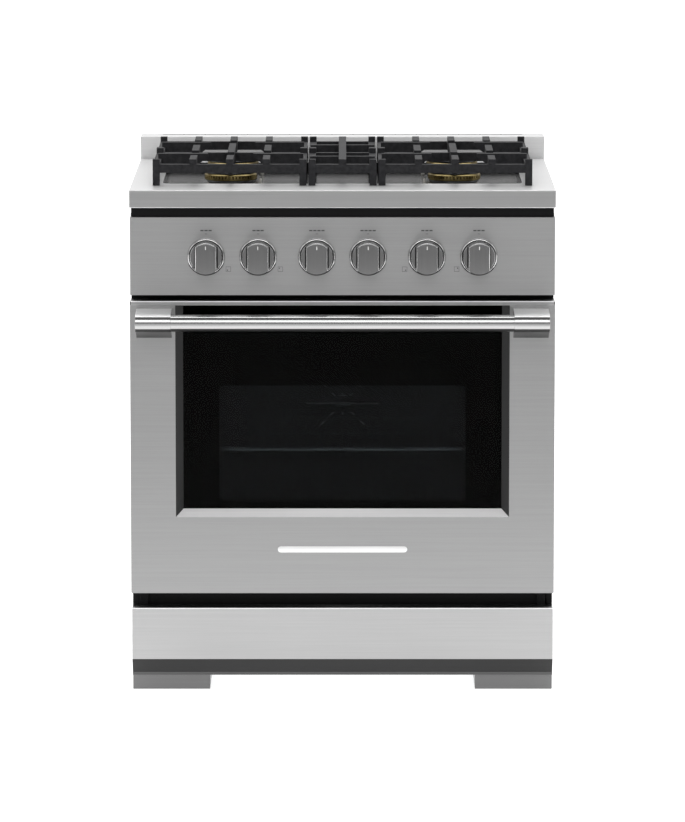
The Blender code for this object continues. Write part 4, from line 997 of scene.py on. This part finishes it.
def make_oven():
    rounded_copy("oven_cavity", "oven_enamel", 0.0008)
    rounded_copy("oven_floor", "oven_enamel")
    rounded_copy("fan_cover", "oven_enamel", 0.0006)
    rounded_copy("convection_fan", "aluminium", 0.0004)
    give_finish("broil_burner", "rack_wire")
    make_broil_mesh()
    make_rack()
    make_mouth_gasket()
    make_oven_lamps()
    make_sensor()


def make_broil_mesh():
    """Crossed wires over the radiant burner's open face."""
    low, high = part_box("broil_burner")
    margin, end, pitch, radius = 0.016, 0.0155, 0.010, 0.0006
    z = low.z + 0.003
    shape = bmesh.new()
    y = low.y + margin
    while y < high.y - margin:
        add_rod(shape, radius, (low.x + end, y, z), (high.x - end, y, z), 8)
        y += pitch
    z += 2.2 * radius
    x = low.x + margin
    while x < high.x - margin:
        add_rod(shape, radius, (x, low.y + end, z), (x, high.y - end, z), 8)
        x += pitch
    new_piece("broil_mesh", shape, "galvanised", "range_body")


def make_rack():
    """Welded wire rack: a frame wire, close wires from front to back and three cross wires."""
    low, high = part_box("oven_rack")
    frame_wire, wire, cross_wire = 0.0026, 0.0015, 0.0020
    middle = (low.z + high.z) / 2
    x0, x1, y0, y1 = low.x + frame_wire, high.x - frame_wire, low.y + frame_wire, high.y - frame_wire
    shape = bmesh.new()
    loop = [(x, y, middle) for x, y in rounded_loop((x0, y0), (x1, y1), 0.010, 5)]
    add_tube_path(shape, frame_wire, loop, 14, closed=True)
    count = 24
    for step in range(1, count):
        x = x0 + (x1 - x0) * step / count
        add_rod(shape, wire, (x, y0, middle + 0.0010), (x, y1, middle + 0.0010), 10)
    for share in (0.06, 0.5, 0.94):
        y = y0 + (y1 - y0) * share
        add_rod(shape, cross_wire, (x0, y, middle - 0.0005), (x1, y, middle - 0.0005), 12)
    stand_for(new_piece("wire_rack", shape, "rack_wire", "rack"), "oven_rack")


def make_mouth_gasket():
    """Woven fibre seal round the oven's mouth, on the face frame."""
    low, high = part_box("oven_cavity")
    face = low.y - 0.0019
    thickness = min(0.0026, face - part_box("door_skin")[1].y - 0.0004)
    grow = 0.012
    y = face - thickness / 2
    loop = rounded_loop((-high.x - grow, low.z - grow), (high.x + grow, high.z + grow), 0.020, 8)
    shape = bmesh.new()
    add_tube_path(shape, thickness / 2, [(x, y, z) for x, z in loop], 12, closed=True)
    new_piece("mouth_gasket", shape, "gasket", "range_body")


def make_oven_lamps():
    """Two round lamp covers high on the rear wall."""
    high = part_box("oven_cavity")[1]
    dome = [(0.0, 0.0), (0.024, 0.0), (0.024, 0.0060), (0.020, 0.0120), (0.012, 0.0152), (0.0, 0.016)]
    ring = [(0.0245, 0.0), (0.030, 0.0), (0.030, 0.003), (0.0245, 0.005)]
    for side, sign in SIDES.items():
        place = (sign * (high.x - 0.085), high.y - 0.0021, high.z - 0.075)
        cover, bezel = turned(dome, place, TO_FRONT, 64), turned(ring, place, TO_FRONT, 64)
        new_piece(f"lamp_cover_{side}", cover, "inner_glass", "range_body")
        new_piece(f"lamp_ring_{side}", bezel, "rack_wire", "range_body")


def make_sensor():
    """Temperature probe that reaches out of the rear wall."""
    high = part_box("oven_cavity")[1]
    flange, plate, probe, reach = 0.012, 0.0015, 0.0024, 0.090
    place = Vector((-0.17, high.y - 0.0022, high.z - 0.045))
    shape = bmesh.new()
    add_turned(shape, [(0, 0), (flange, 0), (flange, plate), (0, plate)], place, TO_FRONT, 32)
    add_rod(shape, probe, place - Vector((0, 0.001, 0)), place - Vector((0, reach, 0)), 24)
    new_piece("oven_sensor", shape, "rack_wire", "range_body")


# ------------------------ cabinet, back and feet

def make_cabinet():
    for side in SIDES:
        rounded_copy(f"side_panel_{side}", "side_steel", 0.0006)
        rounded_copy(f"hinge_{side}", "galvanised", 0.0008)
    rounded_copy("base_frame", "galvanised")
    rounded_copy("gas_manifold", "galvanised", 0.0006)
    make_back_panel()
    make_side_screws()
    for name in BURNER_NAMES:
        give_finish(f"valve_stem_{name}", "galvanised")
        make_foot(name)
    make_gas_inlet()
    make_power_inlet()


def make_back_panel():
    """Rear sheet with pressed ribs, a louvred vent, a service cover and screws round its edge."""
    rounded_copy("back_panel", "galvanised")
    low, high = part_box("back_panel")
    face = high.y
    shape = bmesh.new()
    for step in range(4):
        z = low.z + 0.19 + step * 0.045
        add_box(shape, (low.x + 0.10, face - 0.0003, z), (high.x - 0.10, face + 0.0022, z + 0.012))
    bevel_sharp(shape, 0.0015, 3, 60)
    new_piece("back_ribs", shape, "galvanised", "range_body")
    shape = bmesh.new()
    for step in range(9):
        z = high.z - 0.075 - step * 0.013
        outline = [(face + 0.0002, z + 0.0045), (face + 0.0058, z - 0.0035), (face + 0.0050, z - 0.0045),
                   (face + 0.0002, z - 0.0020)]
        for side in SIDES.values():
            add_extrusion(shape, outline, "X", (side * 0.235 - 0.075, side * 0.235 + 0.075))
    new_piece("back_louvres", shape, "galvanised", "range_body")
    shape = bmesh.new()
    add_box(shape, (-0.13, face + 0.0002, 0.40), (0.13, face + 0.010, 0.62))
    bevel_sharp(shape, 0.004, 4, 60)
    new_piece("fan_motor_cover", shape, "galvanised", "range_body")
    shape = bmesh.new()
    for z in (low.z + 0.012, (low.z + high.z) / 2, high.z - 0.012):
        for x in (low.x + 0.010, -0.18, 0.18, high.x - 0.010):
            add_screw(shape, (x, face - 0.0001, z), TO_BACK)
    for z in (low.z + 0.20, low.z + 0.55):
        for x in (low.x + 0.010, high.x - 0.010):
            add_screw(shape, (x, face - 0.0001, z), TO_BACK)
    for x in (-0.118, 0.118):
        for z in (0.412, 0.608):
            add_screw(shape, (x, face + 0.0099, z), TO_BACK, 0.003)
    new_piece("back_screws", shape, "aluminium", "range_body")


def make_side_screws():
    for side, sign in SIDES.items():
        low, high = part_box(f"side_panel_{side}")
        outer = high.x if sign > 0 else low.x
        shape = bmesh.new()
        for y in (low.y + 0.020, high.y - 0.020):
            for z in (low.z + 0.018, high.z - 0.018):
                add_screw(shape, (outer - sign * 0.0001, y, z), (sign, 0, 0), 0.003)
        new_piece(f"side_screws_{side}", shape, "aluminium", "range_body")


def make_foot(name):
    """Levelling foot: pad, hexagonal collar and a stud with turned threads."""
    low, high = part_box(f"levelling_leg_{name}")
    x, y = (low.x + high.x) / 2, (low.y + high.y) / 2
    pad, stud, rise, pitch = (high.x - low.x) / 2, 0.006, 0.012, 0.0025
    shape = bmesh.new()
    profile = [(0, 0), (pad - 0.0015, 0), (pad, 0.0015), (pad, 0.0055), (pad - 0.002, 0.0078),
               (0.011, rise - 0.002), (0.0095, rise), (stud, rise)]
    z = rise + 0.001
    while z + pitch < high.z - 0.001:
        profile += [(stud, z), (stud, z + pitch * 0.3), (stud - 0.0008, z + pitch * 0.6)]
        z += pitch
    profile += [(stud - 0.001, high.z), (0, high.z)]
    add_turned(shape, profile, (x, y, low.z), UP, 48)
    stand_for(new_piece(f"foot_{name}", shape, "aluminium", f"leg_{name}"), f"levelling_leg_{name}")
    shape = bmesh.new()
    add_extrusion(shape, arc((x, y), 0.0115, 0, 300, 5), "Z", (rise + 0.0002, rise + 0.008))
    bevel_sharp(shape, 0.0006, 2)
    new_piece(f"foot_nut_{name}", shape, "galvanised", f"leg_{name}")


def make_gas_inlet():
    """Brass nipple with cut threads and a round collar against the rear panel."""
    low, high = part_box("gas_inlet")
    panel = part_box("back_panel")[1].y
    x, radius = (low.x + high.x) / 2, 0.0105
    z = low.z + radius * 1.5
    shape = bmesh.new()
    add_rod(shape, radius * 1.5, (x, low.y, z), (x, low.y + 0.028, z), 48)
    inlet = new_piece("gas_nipple", shape, "brass", "range_body")
    riser, neck = bmesh.new(), bmesh.new()
    add_rod(riser, radius, (x, low.y + 0.012, z), (x, low.y + 0.012, high.z), 48)
    length = high.y - low.y - 0.020
    profile = [(0, 0), (radius, 0), (radius, panel - low.y - 0.019)]
    reach = panel - low.y - 0.019
    while reach + 0.0018 < length - 0.001:
        profile += [(radius, reach + 0.0004), (radius - 0.0009, reach + 0.0011)]
        reach += 0.0018
    profile += [(radius - 0.0012, length), (0.0075, length), (0.0075, length - 0.010), (0, length - 0.010)]
    add_turned(neck, profile, (x, low.y + 0.020, z), TO_BACK, 64)
    carve(inlet, "UNION", tool_from(riser), tool_from(neck))
    smooth(inlet)
    stand_for(inlet, "gas_inlet")


def make_power_inlet():
    """Moulded inlet with three blades in its socket, and its two screws."""
    low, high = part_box("power_inlet")
    rounded_copy("power_inlet", "plastic", 0.0009, 3)
    centre = (low + high) / 2
    shape = bmesh.new()
    for offset, rise in ((-0.007, -0.002), (0.0, 0.003), (0.007, -0.002)):
        add_box(shape, (centre.x + offset - 0.0010, low.y + 0.0037, centre.z + rise - 0.0025),
                (centre.x + offset + 0.0010, high.y - 0.001, centre.z + rise + 0.0025))
    bevel_sharp(shape, 0.0003, 2)
    new_piece("inlet_blades", shape, "aluminium", "range_body")
    shape = bmesh.new()
    for sign in (-1, 1):
        add_screw(shape, (centre.x + sign * 0.0185, high.y - 0.0001, centre.z), TO_BACK, 0.0028)
    new_piece("inlet_screws", shape, "aluminium", "range_body")


# ------------------------ the whole range

make_stage()
make_hob()
make_back_trim()
for burner in BURNER_NAMES:
    make_burner(burner)
make_grates()
make_front()
make_door()
make_oven()
make_cabinet()
